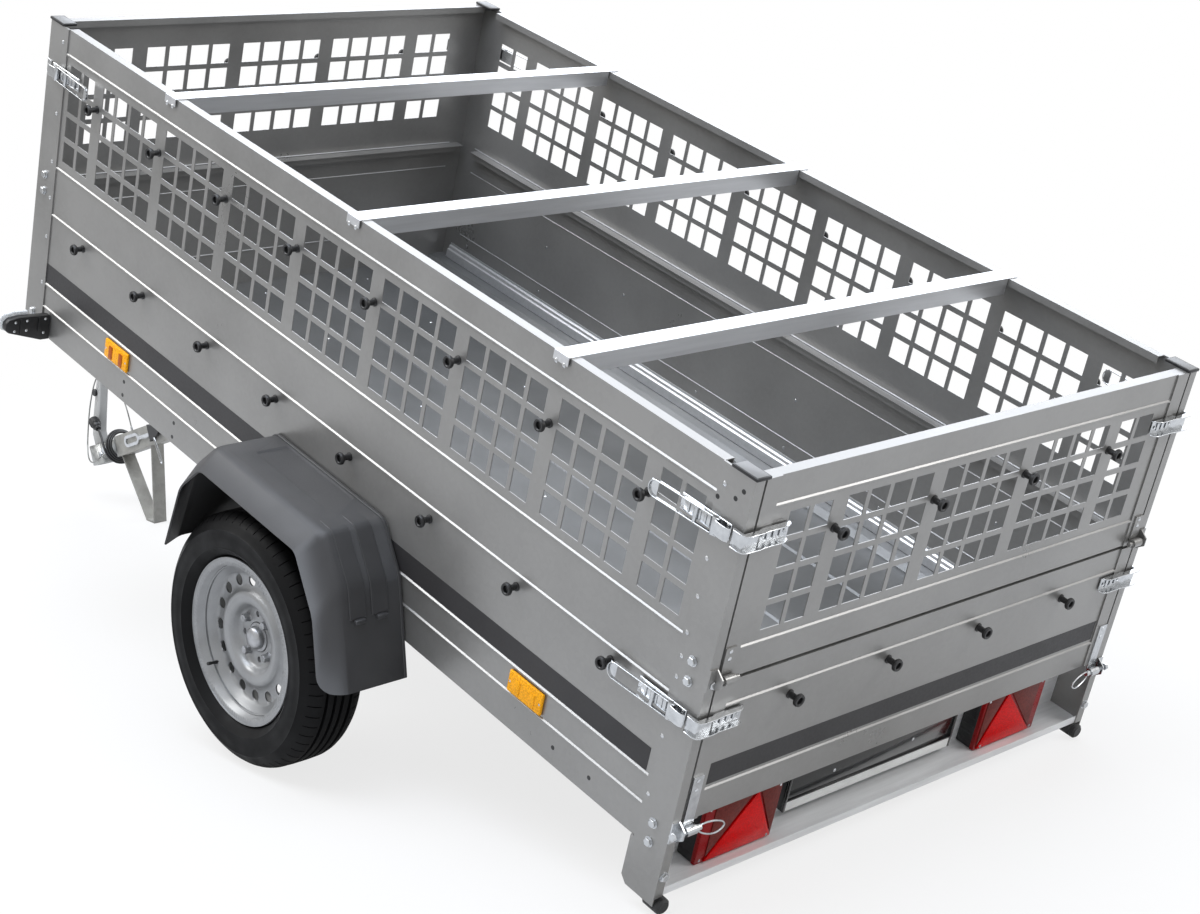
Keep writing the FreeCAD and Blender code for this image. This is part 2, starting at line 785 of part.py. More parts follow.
front_lamps = new_body("front_lamps")
lamp_end = half_width + size.front_lamp_reach
front_lamp = [
    (half_width - size.post_width / 2, size_of(0)),
    (half_width - size.post_width / 2, size_of(-14)),
    (half_width, size_of(-40)),
    (lamp_end - 30, size_of(-62)),
    (lamp_end, size_of(-40)),
    (lamp_end - 6, size_of(-10)),
    (half_width + 20, size_of(8)),
    (half_width + 1, size_of(8)),
    (half_width + 1, size_of(0)),
]
pad(
    front_lamps,
    "YZ",
    lambda sketch: draw_outline(sketch, front_lamp),
    size.front_lamp_depth,
    size.box_length - size.front_lamp_depth,
)
mirror_all(front_lamps)
keep(front_lamps, in_box)

front_lenses = new_body("front_lamp_lenses")
front_lens = [
    (lamp_end - 70, size_of(-50)),
    (lamp_end - 30, size_of(-62)),
    (lamp_end, size_of(-40)),
    (lamp_end - 6, size_of(-10)),
    (lamp_end - 70, size_of(-6)),
]
pad(
    front_lenses,
    "YZ",
    lambda sketch: draw_outline(sketch, front_lens),
    size.front_lens_depth,
    size.box_length,
)
mirror_all(front_lenses)
keep(front_lenses, in_box)


# ---------------------------------------------------------------- axle
axle = new_body("axle_beam")
axle_x = size.axle_station + size.arm_lead
tube_half = size.tube_size / 2
axle_z = rail_bottom - tube_half
arm_rise = axle_z + size.axle_drop
axle_half = half_width - size.arm_thickness - 2


def square_tube(sketch, across, up):
    draw_rectangle(sketch, across - tube_half, across + tube_half, up - tube_half, up + tube_half)
    bore = tube_half - size.tube_wall
    draw_rectangle(sketch, across - bore, across + bore, up - bore, up + bore)


pad(axle, "XZ", lambda s: square_tube(s, axle_x, axle_z), axle_half * 2, centred=True)
keep(axle, in_box)

brackets = new_body("axle_brackets")
bracket_low = axle_z + tube_half
bracket_plate = [
    (axle_x - size.tube_size, rail_bottom),
    (axle_x - size.tube_size, bracket_low - tube_half),
    (axle_x - tube_half, bracket_low - tube_half),
    (axle_x - tube_half, bracket_low),
    (axle_x + tube_half, bracket_low),
    (axle_x + tube_half, bracket_low - tube_half),
    (axle_x + size.tube_size, bracket_low - tube_half),
    (axle_x + size.tube_size, size_of(0)),
    (axle_x - size.tube_size, size_of(0)),
]
bracket_seat = size.rail_offset - size.post_sheet
pad_plates(brackets, bracket_plate, [bracket_seat], size.post_sheet)
side_seat = half_width - skin - size.foot_fold - size.post_sheet
pad_plates(brackets, bracket_plate, [side_seat], size.post_sheet)
mirror_all(brackets)
keep(brackets, in_box)

arms = new_body("swing_arms")
arm_boss = tube_half + 6
arm_inner = axle_half
wheel_x, wheel_z = size.axle_station, -size.axle_drop
arm_length = math.hypot(size.arm_lead.value, arm_rise.value)
lean_across = size_of(arm_boss) * (arm_rise / arm_length)
lean_up = size_of(arm_boss) * (size.arm_lead / arm_length)
arm_web = [
    (wheel_x - lean_across, wheel_z + lean_up),
    (wheel_x + lean_across, wheel_z - lean_up),
    (axle_x + lean_across, axle_z - lean_up),
    (axle_x - lean_across, axle_z + lean_up),
]
pad_plates(arms, arm_web, [arm_inner], size.arm_thickness)
for x, z in ((wheel_x, wheel_z), (axle_x, axle_z)):
    pad_rod(arms, "XZ", x, z, arm_boss, -arm_inner, size.arm_thickness, backwards=True)
spindle_end = half_track + 6
pad_rod(
    arms, "XZ", wheel_x, wheel_z, size.spindle_radius, -arm_inner, spindle_end - arm_inner, True
)
mirror_all(arms)
keep(arms, in_box)


# ---------------------------------------------------------------- wheels
# Wheels are modelled on their own axis, with +z outwards from the middle of the tyre.
def revolve(body, outline):
    """Turns an outline of (radius, height) pairs about the z axis."""
    sketch = new_sketch(body, "XZ")
    draw_outline(sketch, outline)
    feature = body.newObject("PartDesign::Revolution", "Revolution")
    feature.Profile = sketch
    feature.ReferenceAxis = (sketch, ["V_Axis"])
    feature.Angle = 360
    return feature


def ring_of_holes(body, circle, radius, count):
    feature = pocket(
        body, "XY", lambda s: draw_circle(s, circle, 0, radius), size.tyre_width, 0, centred=True
    )
    pattern = body.newObject("PartDesign::PolarPattern", "Ring")
    pattern.Originals = [feature]
    pattern.Axis = (feature.Profile[0], ["N_Axis"])
    pattern.Angle = 360
    pattern.Occurrences = count
    body.Tip = pattern


def tyre_outline():
    """Half section of the tyre: bead in the rim, sidewall, shoulder and tread, then mirrored."""
    bulge = size.tyre_width / 2
    shoulder = size.tyre_radius - 6
    half = [
        # radius, height over the middle
        (size.seat_radius + 0.3, size.rim_half - 8),
        (size.flange_radius + 3, size.rim_half - 8),
        (size.flange_radius + 22, bulge),
        (shoulder - 22, bulge),
        (shoulder, bulge - 22),
        (size.tyre_radius, bulge - 34),
    ]
    return half + [(radius, -height) for radius, height in reversed(half)]


def rim_outline():
    """Section of the rim: upright flanges, bead seats and the drop centre, one sheet thick."""
    seat, flange, half, wall = size.seat_radius, size.flange_radius, size.rim_half, size.rim_sheet
    well, well_outer, well_inner = seat - size.well_depth, half - 26, size_of(-16)
    outer = [
        # radius, height over the middle
        (flange, half),
        (flange, half - wall),
        (seat, half - wall),
        (seat, well_outer),
        (well, well_outer),
        (well, well_inner),
        (seat, well_inner),
        (seat, wall - half),
        (flange, wall - half),
        (flange, -half),
    ]
    inner = [
        (seat - wall, -half),
        (seat - wall, well_inner - wall),
        (well - wall, well_inner - wall),
        (well - wall, well_outer + wall),
        (seat - wall, well_outer + wall),
        (seat - wall, half),
    ]
    return outer + inner


def disc_outline():
    """Section of the wheel disc: hub face, bright ridge, vented slope and the rim's seat."""
    face = [
        # radius, height over the middle
        (size_of(33), size.disc_face),
        (size_of(64), size.disc_face),
        (size_of(76), 34),
        (size_of(98), 38),
        (size_of(108), 26),
        (size.seat_radius - size.well_depth - size.rim_sheet / 2, 26),
    ]
    face = [(radius, size_of(height)) for radius, height in face]
    back = [(radius, height - size.rim_sheet) for radius, height in reversed(face)]
    return face + back


for side, name in ((1, "left"), (-1, "right")):
    tyre = new_body("tyre_" + name)
    revolve(tyre, tyre_outline())
    rim = new_body("wheel_" + name)
    revolve(rim, rim_outline())
    revolve(rim, disc_outline())
    ring_of_holes(rim, size.vent_circle, size.vent_radius, 16)
    ring_of_holes(rim, size.bolt_circle, size.bolt_hole, 4)
    hub = new_body("hub_" + name)
    hub_back = -half_track + arm_inner + size.arm_thickness + 6
    bore = size.spindle_radius + size.running_gap
    hub_face = size.disc_face - size.rim_sheet
    revolve(
        hub,
        [
            (bore, hub_back),
            (size_of(38), hub_back),
            (size_of(38), hub_face - 10),
            (size_of(62), hub_face - 10),
            (size_of(62), hub_face),
            (size_of(28), hub_face),
            (size_of(28), hub_face + 34),
            (size_of(0), hub_face + 34),
            (size_of(0), hub_face + 6),
            (bore, hub_face + 6),
        ],
    )
    for body in (tyre, rim, hub):
        in_wheels.append((body, side))


# ---------------------------------------------------------------- fenders
ARCH = [
    # x and z of the crown from the wheel's middle, from its front foot to its rear foot, and how
    # far the outer lip lies inside the stretch that starts there, all for the tyre below
    (281, 104, 24), (245, 300, 40), (185, 369, 40), (-202, 369, 40), (-277, 280, 24),
    (-342, 104, 0),
]
ARCH_TYRE = 273.5
arch_scale = size.tyre_radius / ARCH_TYRE


def arch(insets):
    """The arch with each stretch moved inwards by its inset, both feet staying level."""
    lines = []
    for (x, z, lip), (next_x, next_z, next_lip), inwards in zip(ARCH, ARCH[1:], insets):
        along = Vector(next_x - x, 0, next_z - z)
        along.normalize()
        lines.append((Vector(x - along.z * inwards, 0, z + along.x * inwards), along))
    foot = (Vector(0, 0, ARCH[0][1]), Vector(1, 0, 0))
    lines = [foot] + lines + [foot]
    points = []
    for (start, along), (other, across) in zip(lines, lines[1:]):
        between = other - start
        scale = along.x * across.z - along.z * across.x
        run = (between.x * across.z - between.z * across.x) / scale
        points.append(start + along * run)
    return [
        (size.axle_station + arch_scale * point.x, arch_scale * point.z - size.axle_drop)
        for point in points
    ]


def fender_loft(body, kind, sections):
    """A ruled loft through arches at the given y places."""
    sketches = []
    for place, outline in sections:
        sketch = new_sketch(body, "XZ", -size_of(place))
        draw_outline(sketch, outline)
        sketches.append(sketch)
    feature = body.newObject("PartDesign::" + kind, kind)
    feature.Profile = sketches[0]
    feature.Sections = sketches[1:]
    feature.Ruled = True


def below(outline, drop):
    """The outline with its two feet a little lower, so that it cuts right through."""
    outline = list(outline)
    for foot in (0, -1):
        across, up = outline[foot]
        outline[foot] = (across, up - drop)
    return outline


fender_wall = size.fender_wall.value
crown_insets = [0] * (len(ARCH) - 1)
lip_insets = [lip for x, z, lip in ARCH[:-1]]
hollow_insets = [inwards + fender_wall for inwards in crown_insets]
hollow_lip_insets = [inwards + fender_wall for inwards in lip_insets]
for side, name in ((1, "left"), (-1, "right")):
    fender = new_body("fender_" + name)
    shoulder = half_width + size.fender_shoulder
    edge = half_width + size.fender_width
    fender_loft(fender, "AdditiveLoft", [(half_width * side, arch(crown_insets)),
                                         (shoulder * side, arch(crown_insets))])
    fender_loft(fender, "AdditiveLoft", [(shoulder * side, arch(crown_insets)),
                                         (edge * side, arch(lip_insets))])
    fender_loft(fender, "SubtractiveLoft", [(half_width * side, below(arch(hollow_insets), 1)),
                                            (shoulder * side, below(arch(hollow_insets), 1))])
    fender_loft(fender, "SubtractiveLoft", [(shoulder * side, below(arch(hollow_insets), 1)),
                                            (edge * side, below(arch(hollow_lip_insets), 1))])
    keep(fender, in_box)


# ---------------------------------------------------------------- latches and rear hinges


def latch_outline(at_front):
    """Plan of an over-centre latch: plate and lever on the side wall's post, hook at the corner."""
    end = size.box_length if at_front else size_of(0)
    inwards = -1 if at_front else 1
    plate_end = size.latch_start + size.latch_plate
    lever_end = size.latch_start + size.latch_lever
    plan = [
        # along the side from the corner, outwards from the post
        (size.latch_start, 0),
        (plate_end, 0),
        (plate_end, 4),
        (plate_end - 22, 12),
        (lever_end, 18),
        (lever_end, 22),
        (plate_end - 30, 19),
        (plate_end - 54, 10),
        (size.latch_start + 14, 8),
        (size.latch_start, 8),
    ]
    return [(end + along * inwards, half_width + out) for along, out in plan]


latches = new_body("over_centre_latches")
for at_front, height in (
    (False, size.gate_latch_station),
    (False, size.mesh_latch_station),
    (True, size.mesh_latch_station),
):
    outline = latch_outline(at_front)
    pad(
        latches,
        "XY",
        lambda sketch: draw_outline(sketch, outline),
        size.latch_height,
        height - size.latch_height / 2,
    )
mirror_all(latches)
keep(latches, in_box)


def keeper_outline(at_front):
    """Plan of a keeper: a strap on the end panel that turns the corner clear of the post."""
    end = size.box_length if at_front else size_of(0)
    outwards = 1 if at_front else -1
    clear, strap = size.keeper_clearance, size.keeper_strap
    reach, turn = size.keeper_reach, size.keeper_turn
    if at_front:
        return [
            (end, half_width - reach),
            (end, half_width),
            (end - turn, half_width),
            (end - turn, half_width + strap),
            (end + strap, half_width + strap),
            (end + strap, half_width - reach),
        ]
    panel_edge = gate_half - 6
    return [
        (end, half_width - reach),
        (end, panel_edge),
        (end + clear * outwards, panel_edge + clear),
        (end + clear * outwards, half_width + clear),
        (end - turn * outwards, half_width + clear),
        (end - turn * outwards, half_width + clear + strap),
        (end + (clear + strap) * outwards, half_width + clear + strap),
        (end + (clear + strap) * outwards, panel_edge + clear - strap / 2),
        (end + strap * outwards, panel_edge - strap / 2),
        (end + strap * outwards, half_width - reach),
    ]


for node, at_front, height in (
    ("tailgate_keepers", False, size.gate_latch_station),
    ("mesh_rear_keepers", False, size.mesh_latch_station),
    ("mesh_front_keepers", True, size.mesh_latch_station),
):
    keepers = new_body(node)
    outline = keeper_outline(at_front)
    pad(
        keepers,
        "XY",
        lambda sketch: draw_outline(sketch, outline),
        size.latch_height,
        height - size.latch_height / 2,
    )
    mirror_all(keepers)
    keep(keepers, in_box)

gate_pin_height = size.gate_bottom - size.gate_pin_drop
mesh_pin_height = size.side_height + size.mesh_pin_rise
HINGES = [
    # node of the pins, node of the straps, height of the pin, length of the strap
    ("tailgate_hinge_pins", "tailgate_hinge_straps", gate_pin_height, size.gate_strap),
    ("mesh_hinge_pins", "mesh_hinge_straps", mesh_pin_height, size.mesh_strap),
]
for pins_node, straps_node, height, strap_length in HINGES:
    pins = new_body(pins_node)
    ear_half = size.hinge_ear / 2
    plate = [
        (size_of(0), height - ear_half),
        (size_of(0), height + ear_half),
        (-size.post_sheet, height + ear_half),
        (-size.gate_pin_reach - size.knuckle_radius, height + size.knuckle_radius),
        (-size.gate_pin_reach - size.knuckle_radius, height - size.knuckle_radius),
        (-size.post_sheet, height - ear_half),
    ]
    ear = half_width - size.post_return + 4
    pad_plates(pins, plate, [ear], size.post_sheet)
    pad_block(
        pins, (-size.post_sheet, 0), (ear, half_width), (height - ear_half, height + ear_half)
    )
    pin_end = gate_half - size.strap_width - 12
    pad_rod(
        pins, "XZ", -size.gate_pin_reach, height, size.gate_pin_radius, -pin_end, ear - pin_end, True
    )
    mirror_all(pins)
    keep(pins, in_box)

    straps = new_body(straps_node)
    strap_inner = gate_half - size.strap_width
    strap = [
        (-size.post_sheet, height),
        (size_of(0), height + size.gate_pin_drop),
        (size_of(0), height + strap_length),
        (-size.post_sheet, height + strap_length),
    ]
    pad_plates(straps, strap, [strap_inner], size.strap_width)
    pad_rod(
        straps,
        "XZ",
        -size.gate_pin_reach,
        height,
        size.knuckle_radius,
        -strap_inner,
        size.strap_width,
        True,
    )
    bore = size.gate_pin_radius + size.running_gap
    pocket(
        straps,
        "XZ",
        lambda sketch: draw_circle(sketch, -size.gate_pin_reach, height, bore),
        size.strap_width * 2,
        size.strap_width / 2 - strap_inner,
    )
    mirror_all(straps)
    keep(straps, in_box)


# ---------------------------------------------------------------- drawbar hinge on the box
bracket = new_body("drawbar_bracket")
pin_z = -size.hinge_drop
cheek = tube_half + size.cheek_gap
cheek_plate = [
    (size.hinge_station - size.tube_size, rail_bottom + size.rail_height / 2),
    (size.hinge_station - size.tube_size / 2, pin_z - tube_half / 2),
    (size.hinge_station + size.tube_size / 2, pin_z - tube_half / 2),
    (size.hinge_station + size.tube_size, rail_bottom + size.rail_height / 2),
]
pad_plates(bracket, cheek_plate, [cheek, -cheek - size.cheek_sheet], size.cheek_sheet)
pad_block(
    bracket,
    (size.hinge_station - size.tube_size, size.hinge_station + size.tube_size),
    (-size.rail_offset, size.rail_offset),
    (rail_top - size.rail_height / 2, rail_top),
)
bracket_bore = size.hinge_pin_radius
pocket(
    bracket,
    "XZ",
    lambda sketch: draw_circle(sketch, size.hinge_station, pin_z, bracket_bore),
    size.tube_size * 3,
    centred=True,
)
keep(bracket, in_box)

hinge_pin = new_body("drawbar_hinge_pin")
pin_half = cheek + size.cheek_sheet + 8
pad(
    hinge_pin,
    "XZ",
    lambda sketch: draw_circle(sketch, size.hinge_station, pin_z, size.hinge_pin_radius),
    pin_half * 2,
    centred=True,
)
keep(hinge_pin, in_box)


# ---------------------------------------------------------------- drawbar
beam = new_body("drawbar_beam")


def beam_section(sketch):
    square_tube(sketch, 0, 0)


pad(beam, "YZ", beam_section, size.beam_length + size.beam_tail, -size.beam_tail)
bush = size.hinge_pin_radius + size.tube_wall
pad(beam, "XZ", lambda s: draw_circle(s, 0, 0, bush), size.tube_size, centred=True)
pocket(
    beam,
    "XZ",
    lambda sketch: draw_circle(sketch, 0, 0, size.hinge_pin_radius + size.running_gap),
    size.tube_size * 2,
    centred=True,
)
keep(beam, in_drawbar)

foot = new_body("drawbar_foot")
slope_sine, slope_cosine = sine(size.drawbar_slope), cosine(size.drawbar_slope)
hinge_height = height_over_ground(size.hinge_station, -size.hinge_drop)
foot_drop = (hinge_height - size.foot_station * slope_sine) / slope_cosine


def along_ground(x_from_foot, z_over_ground):
    """A point given from the foot's heel along the ground, in the drawbar frame."""
    x, z = size_of(x_from_foot), size_of(z_over_ground)
    return (
        size.foot_station + x * slope_cosine - z * slope_sine,
        x * slope_sine + z * slope_cosine - foot_drop,
    )


strap = size.foot_strap
sole = 44
brace_top_x = size.foot_station + 90
foot_outline = [
    along_ground(0, 0),
    along_ground(sole, 0),
    (brace_top_x + strap * 2, -tube_half),
    (brace_top_x + strap, -tube_half),
    along_ground(sole - strap.value / 2, strap),
    along_ground(strap, strap),
    (size.foot_station - (foot_drop - tube_half) * (slope_sine / slope_cosine) + strap, -tube_half),
    (size.foot_station - (foot_drop - tube_half) * (slope_sine / slope_cosine), -tube_half),
]
pad(foot, "XZ", lambda s: draw_outline(s, foot_outline), size.foot_width, centred=True)
keep(foot, in_drawbar)

coupling = new_body("coupling")
half_coupling = size.coupling_height / 2
neck_half = size.neck_width / 2
neck_start = size.beam_length + size.neck_flange
head_radius = size.socket_radius + 12
head_top = half_coupling - 6
pad_block(
    coupling, (size.beam_length, neck_start), (-tube_half, tube_half), (-tube_half, tube_half)
)
neck_rise = 2
pad_block(
    coupling,
    (neck_start, size.socket_station),
    (-neck_half, neck_half),
    (neck_rise - neck_half, neck_rise + neck_half),
)
pad(
    coupling,
    "XY",
    lambda sketch: draw_circle(sketch, size.socket_station, 0, head_radius),
    half_coupling + head_top,
    -half_coupling,
)
pocket(
    coupling,
    "XY",
    lambda sketch: draw_circle(sketch, size.socket_station, 0, size.socket_radius),
    size.socket_depth + 12,
    -half_coupling,
    backwards=True,
)
keep(coupling, in_drawbar)

# The handle stands up and leans back over the neck. Places are from the socket's middle.
handle = new_body("coupling_handle")
pivot_top = head_top + 36
knee = head_top + 78
tip = head_top + size.handle_reach
handle_outline = [
    (size.socket_station - 24, head_top),
    (size.socket_station + 18, head_top),
    (size.socket_station + 18, pivot_top),
    (size.socket_station - 4, knee),
    (size.socket_station - 84, tip),
    (size.socket_station - 108, tip - 8),
    (size.socket_station - 40, knee - 12),
    (size.socket_station - 24, pivot_top),
]
pad(handle, "XZ", lambda s: draw_outline(s, handle_outline), size.handle_width, centred=True)
keep(handle, in_drawbar)

# The tipping lock's flat lever lies on the beam's left face, with an oval eye at its front end.
lever = new_body("lock_lever")
eye_front, eye_back = size.beam_length - 77, size.beam_length - 128
lever_back = size.beam_length - 218
eye_height, eye_wall = 17, 9


def long_eye(make, half_height):
    """An eye with round ends, made by pads or by pockets."""
    for x in (eye_front, eye_back):
        make("XZ", lambda s: draw_circle(s, x, 3, half_height))
    make("XZ", lambda s: draw_rectangle(s, eye_back, eye_front, 3 - half_height, 3 + half_height))


def lever_pad(plane, draw):
    pad(lever, plane, draw, size.foot_strap, -tube_half, backwards=True)


def lever_pocket(plane, draw):
    pocket(lever, plane, draw, size.tube_size * 2, centred=True)


stem_front = eye_back - eye_height + eye_wall / 2
long_eye(lever_pad, eye_height)
long_eye(lever_pocket, eye_height - eye_wall)
lever_pad("XZ", lambda s: draw_rectangle(s, lever_back, stem_front, size_of(-3), size_of(7)))
keep(lever, in_drawbar)

guard = new_body("lock_guard")
guard_outline = [
    (lever_back, tube_half),
    (lever_back, -tube_half + 10),
    (lever_back - 50, size_of(-6)),
    (lever_back - 62, size_of(6)),
    (lever_back - 50, size_of(16)),
]
pad_plates(guard, guard_outline, [tube_half], 12)
keep(guard, in_drawbar)


# ---------------------------------------------------------------- electric lead and safety cable
# The lead leaves a gland on the beam's right face, is wound round the neck, and ends in its plug,
# which leans on the handle. The safety cable is hung over the handle's tip. All routes are in the
# drawbar frame, with x from the beam's front end.
beam_end = size.beam_length.value
wall_face = tube_half.value

gland = new_body("lead_gland")
gland_back, gland_front, gland_nose = size.beam_length - 112, size.beam_length - 88, 8
gland_y, gland_z = -tube_half - 10, 12
pad_block(gland, (gland_back, gland_front), (gland_y - 8, -tube_half), (gland_z - 9, gland_z + 9))
pad_rod(gland, "YZ", gland_y, gland_z, 6, gland_front, gland_nose)
keep(gland, in_drawbar)

LEAD_ROUTE = [
    (-80, -wall_face - 10, 12),
    (-25, -wall_face - 11, 16),
    (16, -42, -16),
]
TAIL_ROUTE = [
    (33.5, 52, 2),
    (44, 46.5, 39.5),
    (70, 37, 66),
]
CABLE_ROUTE = [
    (60, 30, -8),
    (66, 52, -16),
    (100, 60, -30),
    (142, 52, -14),
    (160, 36, 30),
    (160, 22, 78),
    (142, 16, 126),
    (112, 14, 168),
    (78, 12, 206),
    (42, 4, 236),
    (6, -8, 212),
    (-14, -14, 166),
    (-24, -16, 112),
    (-30, -15, 66),
    (-30, -15, wall_face + 8),
]


def tube_path(route):
    """Straight runs joined by tangent arcs, each as large as its two runs allow."""
    points = [Vector(beam_end + x, y, z) for x, y, z in route]
    edges, radii = [], []
    start = points[0]
    for before, corner, after in zip(points, points[1:], points[2:]):
        arriving = (corner - before).normalize()
        leaving = (after - corner).normalize()
        half_turn = arriving.getAngle(leaving) / 2
        setback = 0.45 * min((corner - before).Length, (after - corner).Length)
        radius = setback / math.tan(half_turn)
        inside = (leaving - arriving).normalize() * (radius / math.cos(half_turn) - radius)
        bend_start, bend_end = corner - arriving * setback, corner + leaving * setback
        edges.append(Part.LineSegment(start, bend_start).toShape())
        edges.append(Part.Arc(bend_start, corner + inside, bend_end).toShape())
        radii.append(round(radius, 1))
        start = bend_end
    edges.append(Part.LineSegment(start, points[-1]).toShape())
    return Part.Wire(edges), (points[1] - points[0]).normalize(), radii


def cord_tube(label, route, diameter):
    """A round tube along the route. Its volume is compared with its section times its length."""
    path, direction, radii = tube_path(route)
    start = path.Edges[0].Vertexes[0].Point
    section = Part.Wire([Part.makeCircle(diameter / 2, start, direction)])
    body = document.addObject("Part::Feature", label)
    body.Label = label
    body.Shape = path.makePipeShell([section], True, False)
    expected = math.pi * diameter ** 2 / 4 * path.Length
    if abs(body.Shape.Volume / expected - 1) > 0.01:
        raise RuntimeError("%s has a wrong volume" % label)
    print(label, "length", round(path.Length, 1), "radii", radii)
    keep(body, in_drawbar)


cord_tube("lead", LEAD_ROUTE, size.lead_diameter.value)
cord_tube("lead_tail", TAIL_ROUTE, size.lead_diameter.value)
cord_tube("safety_cable", CABLE_ROUTE, size.cable_diameter.value)

coil = new_body("lead_coil")
coil_back = size.beam_length + 9


def coil_section(sketch):
    draw_circle(sketch, 0, neck_rise, size.coil_outer)
    draw_circle(sketch, 0, neck_rise, size.coil_inner)


pad(coil, "YZ", coil_section, size.coil_width, coil_back)
keep(coil, in_drawbar)

plug = new_body("lead_plug")
plug_collar, plug_length = 8, 38
pad(plug, "XY", lambda s: draw_circle(s, 0, 0, 9), plug_collar)
pad(plug, "XY", lambda s: draw_circle(s, 0, 0, 15), plug_length, plug_collar)
plug_start = Vector(beam_end + TAIL_ROUTE[-1][0], TAIL_ROUTE[-1][1], TAIL_ROUTE[-1][2])
plug_lean = Vector(0.7, -0.17, 0.694)
keep(plug, in_drawbar, Placement(plug_start, Rotation(Vector(0, 0, 1), plug_lean)))

eyes = new_body("cable_eyes")
neck_eye_reach = 30 - neck_half
pad_rod(eyes, "XZ", size.beam_length + 60, -8, 5, -neck_half, neck_eye_reach, backwards=True)
pad_rod(eyes, "XY", size.beam_length - 30, -15, 5, tube_half, 8)
keep(eyes, in_drawbar)


# ---------------------------------------------------------------- placing, checking, writing
def place_all(shift):
    box_place, drawbar_place = box_placement(shift), drawbar_placement(shift)
    for body in in_box:
        body.Placement = box_place.multiply(local_places[body.Name])
    for body in in_drawbar:
        body.Placement = drawbar_place.multiply(local_places[body.Name])
    for body, side in in_wheels:
        body.Placement = wheel_placement(shift, side)
    document.recompute()


bodies = in_box + in_drawbar + [body for body, side in in_wheels]
place_all(0)
low = min(body.Shape.BoundBox.XMin for body in bodies)
high = max(body.Shape.BoundBox.XMax for body in bodies)
middle = (low + high) / 2
place_all(-middle)

for item in document.Objects:
    if {"Invalid", "Error"} & set(item.State):
        raise RuntimeError("%s (%s) failed: %s" % (item.Name, item.Label, item.State))
for body in bodies:
    if body.Shape.isNull() or not body.Shape.isValid() or not body.Shape.Solids:
        raise RuntimeError("%s has no valid shape" % body.Label)

os.makedirs("parts", exist_ok=True)
for body in bodies:
    body.Shape.exportStep("parts/%s.step" % body.Label)
hinge = drawbar_placement(-middle).Base
print("nodes", len(bodies))
print("drawbar hinge", [round(value, 3) for value in hinge])
print("wheel centre x", round(-middle, 3), "z", size.tyre_radius.value)
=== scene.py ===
"""The looks of a tipping utility trailer with mesh extension sides, laid out as an add-on.

The box frame has x forwards from the rear face, y to the left and z up from the side walls' lower
edge. The drawbar frame has x forwards along the beam from its hinge. A wheel frame has z outwards
from the middle of the tyre. Shapes are drawn in millimetres in the frame of the part they sit on.
"""
import json
import math

import bmesh
import bpy
from bmesh.types import BMFace, BMVert
from bpy.props import FloatProperty, PointerProperty, StringProperty
from bpy.types import NodeSocket, Operator, Panel, PropertyGroup
from mathutils import Matrix, Vector


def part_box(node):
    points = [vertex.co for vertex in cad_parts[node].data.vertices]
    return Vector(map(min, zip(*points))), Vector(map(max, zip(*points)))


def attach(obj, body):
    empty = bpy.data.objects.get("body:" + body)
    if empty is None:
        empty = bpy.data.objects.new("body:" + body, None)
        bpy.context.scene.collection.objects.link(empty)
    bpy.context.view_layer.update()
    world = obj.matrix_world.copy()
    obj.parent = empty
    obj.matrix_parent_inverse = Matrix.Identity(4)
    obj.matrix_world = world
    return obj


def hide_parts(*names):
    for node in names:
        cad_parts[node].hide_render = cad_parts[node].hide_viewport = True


bl_info = {
    "name": "Utility Trailer Looks",
    "version": (1, 0, 0),
    "blender": (4, 5, 0),
    "location": "3D View > Sidebar > Trailer",
    "description": "Finishes, fittings and stage of a tipping utility trailer",
    "category": "Object",
}

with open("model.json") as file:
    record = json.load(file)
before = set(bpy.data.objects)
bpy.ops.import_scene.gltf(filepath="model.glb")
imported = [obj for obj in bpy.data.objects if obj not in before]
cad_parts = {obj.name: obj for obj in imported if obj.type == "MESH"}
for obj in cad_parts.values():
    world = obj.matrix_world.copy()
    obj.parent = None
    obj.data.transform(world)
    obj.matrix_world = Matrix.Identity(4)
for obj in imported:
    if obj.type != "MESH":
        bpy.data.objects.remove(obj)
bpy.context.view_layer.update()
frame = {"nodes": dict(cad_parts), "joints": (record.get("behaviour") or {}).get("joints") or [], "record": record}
MM = 0.001


# ---------------------------------------------------------------- sizes and colours
class TrailerSizes(PropertyGroup):
    """Sizes that a maker of this trailer would change"""

    knob_head: FloatProperty(name="Knob head", description="Radius of head", default=0.013, unit="LENGTH")
    knob_reach: FloatProperty(name="Knob reach", description="Its full height", default=0.028, unit="LENGTH")
    rivet_head: FloatProperty(name="Rivet head", description="Radius of dome", default=0.0048, unit="LENGTH")
    bolt_head: FloatProperty(name="Bolt head", description="Middle to corner", default=0.0085, unit="LENGTH")
    spangle: FloatProperty(name="Spangle", description="Zinc crystal size", default=0.009, unit="LENGTH")
    sipe_depth: FloatProperty(name="Sipes", description="Shoulder depth", default=0.0045, unit="LENGTH")


class TrailerColours(PropertyGroup):
    """Colours that a maker of this trailer would change, as sRGB hex values"""

    sheet: StringProperty(name="Galvanised sheet", description="Walls, posts and rails", default="#8F8E8C")
    floor: StringProperty(name="Floor sheet", description="Coated sheet of the floor", default="#666767")
    zinc: StringProperty(name="Bright zinc", description="Zinc-plated fittings", default="#C3C5C7")
    stripe: StringProperty(name="Stripe", description="Charcoal vinyl band", default="#302F30")
    plastic: StringProperty(name="Black plastic", description="Moulded polypropylene", default="#151516")
    rubber: StringProperty(name="Tyre rubber", description="Vulcanised tyre rubber", default="#09090A")
    wheel: StringProperty(name="Wheel paint", description="Silver paint of the wheels", default="#929394")
    red: StringProperty(name="Red lens", description="Rear lamp's reflex triangle", default="#CE0205")
    amber: StringProperty(name="Amber lens", description="Side reflectors", default="#FDA412")


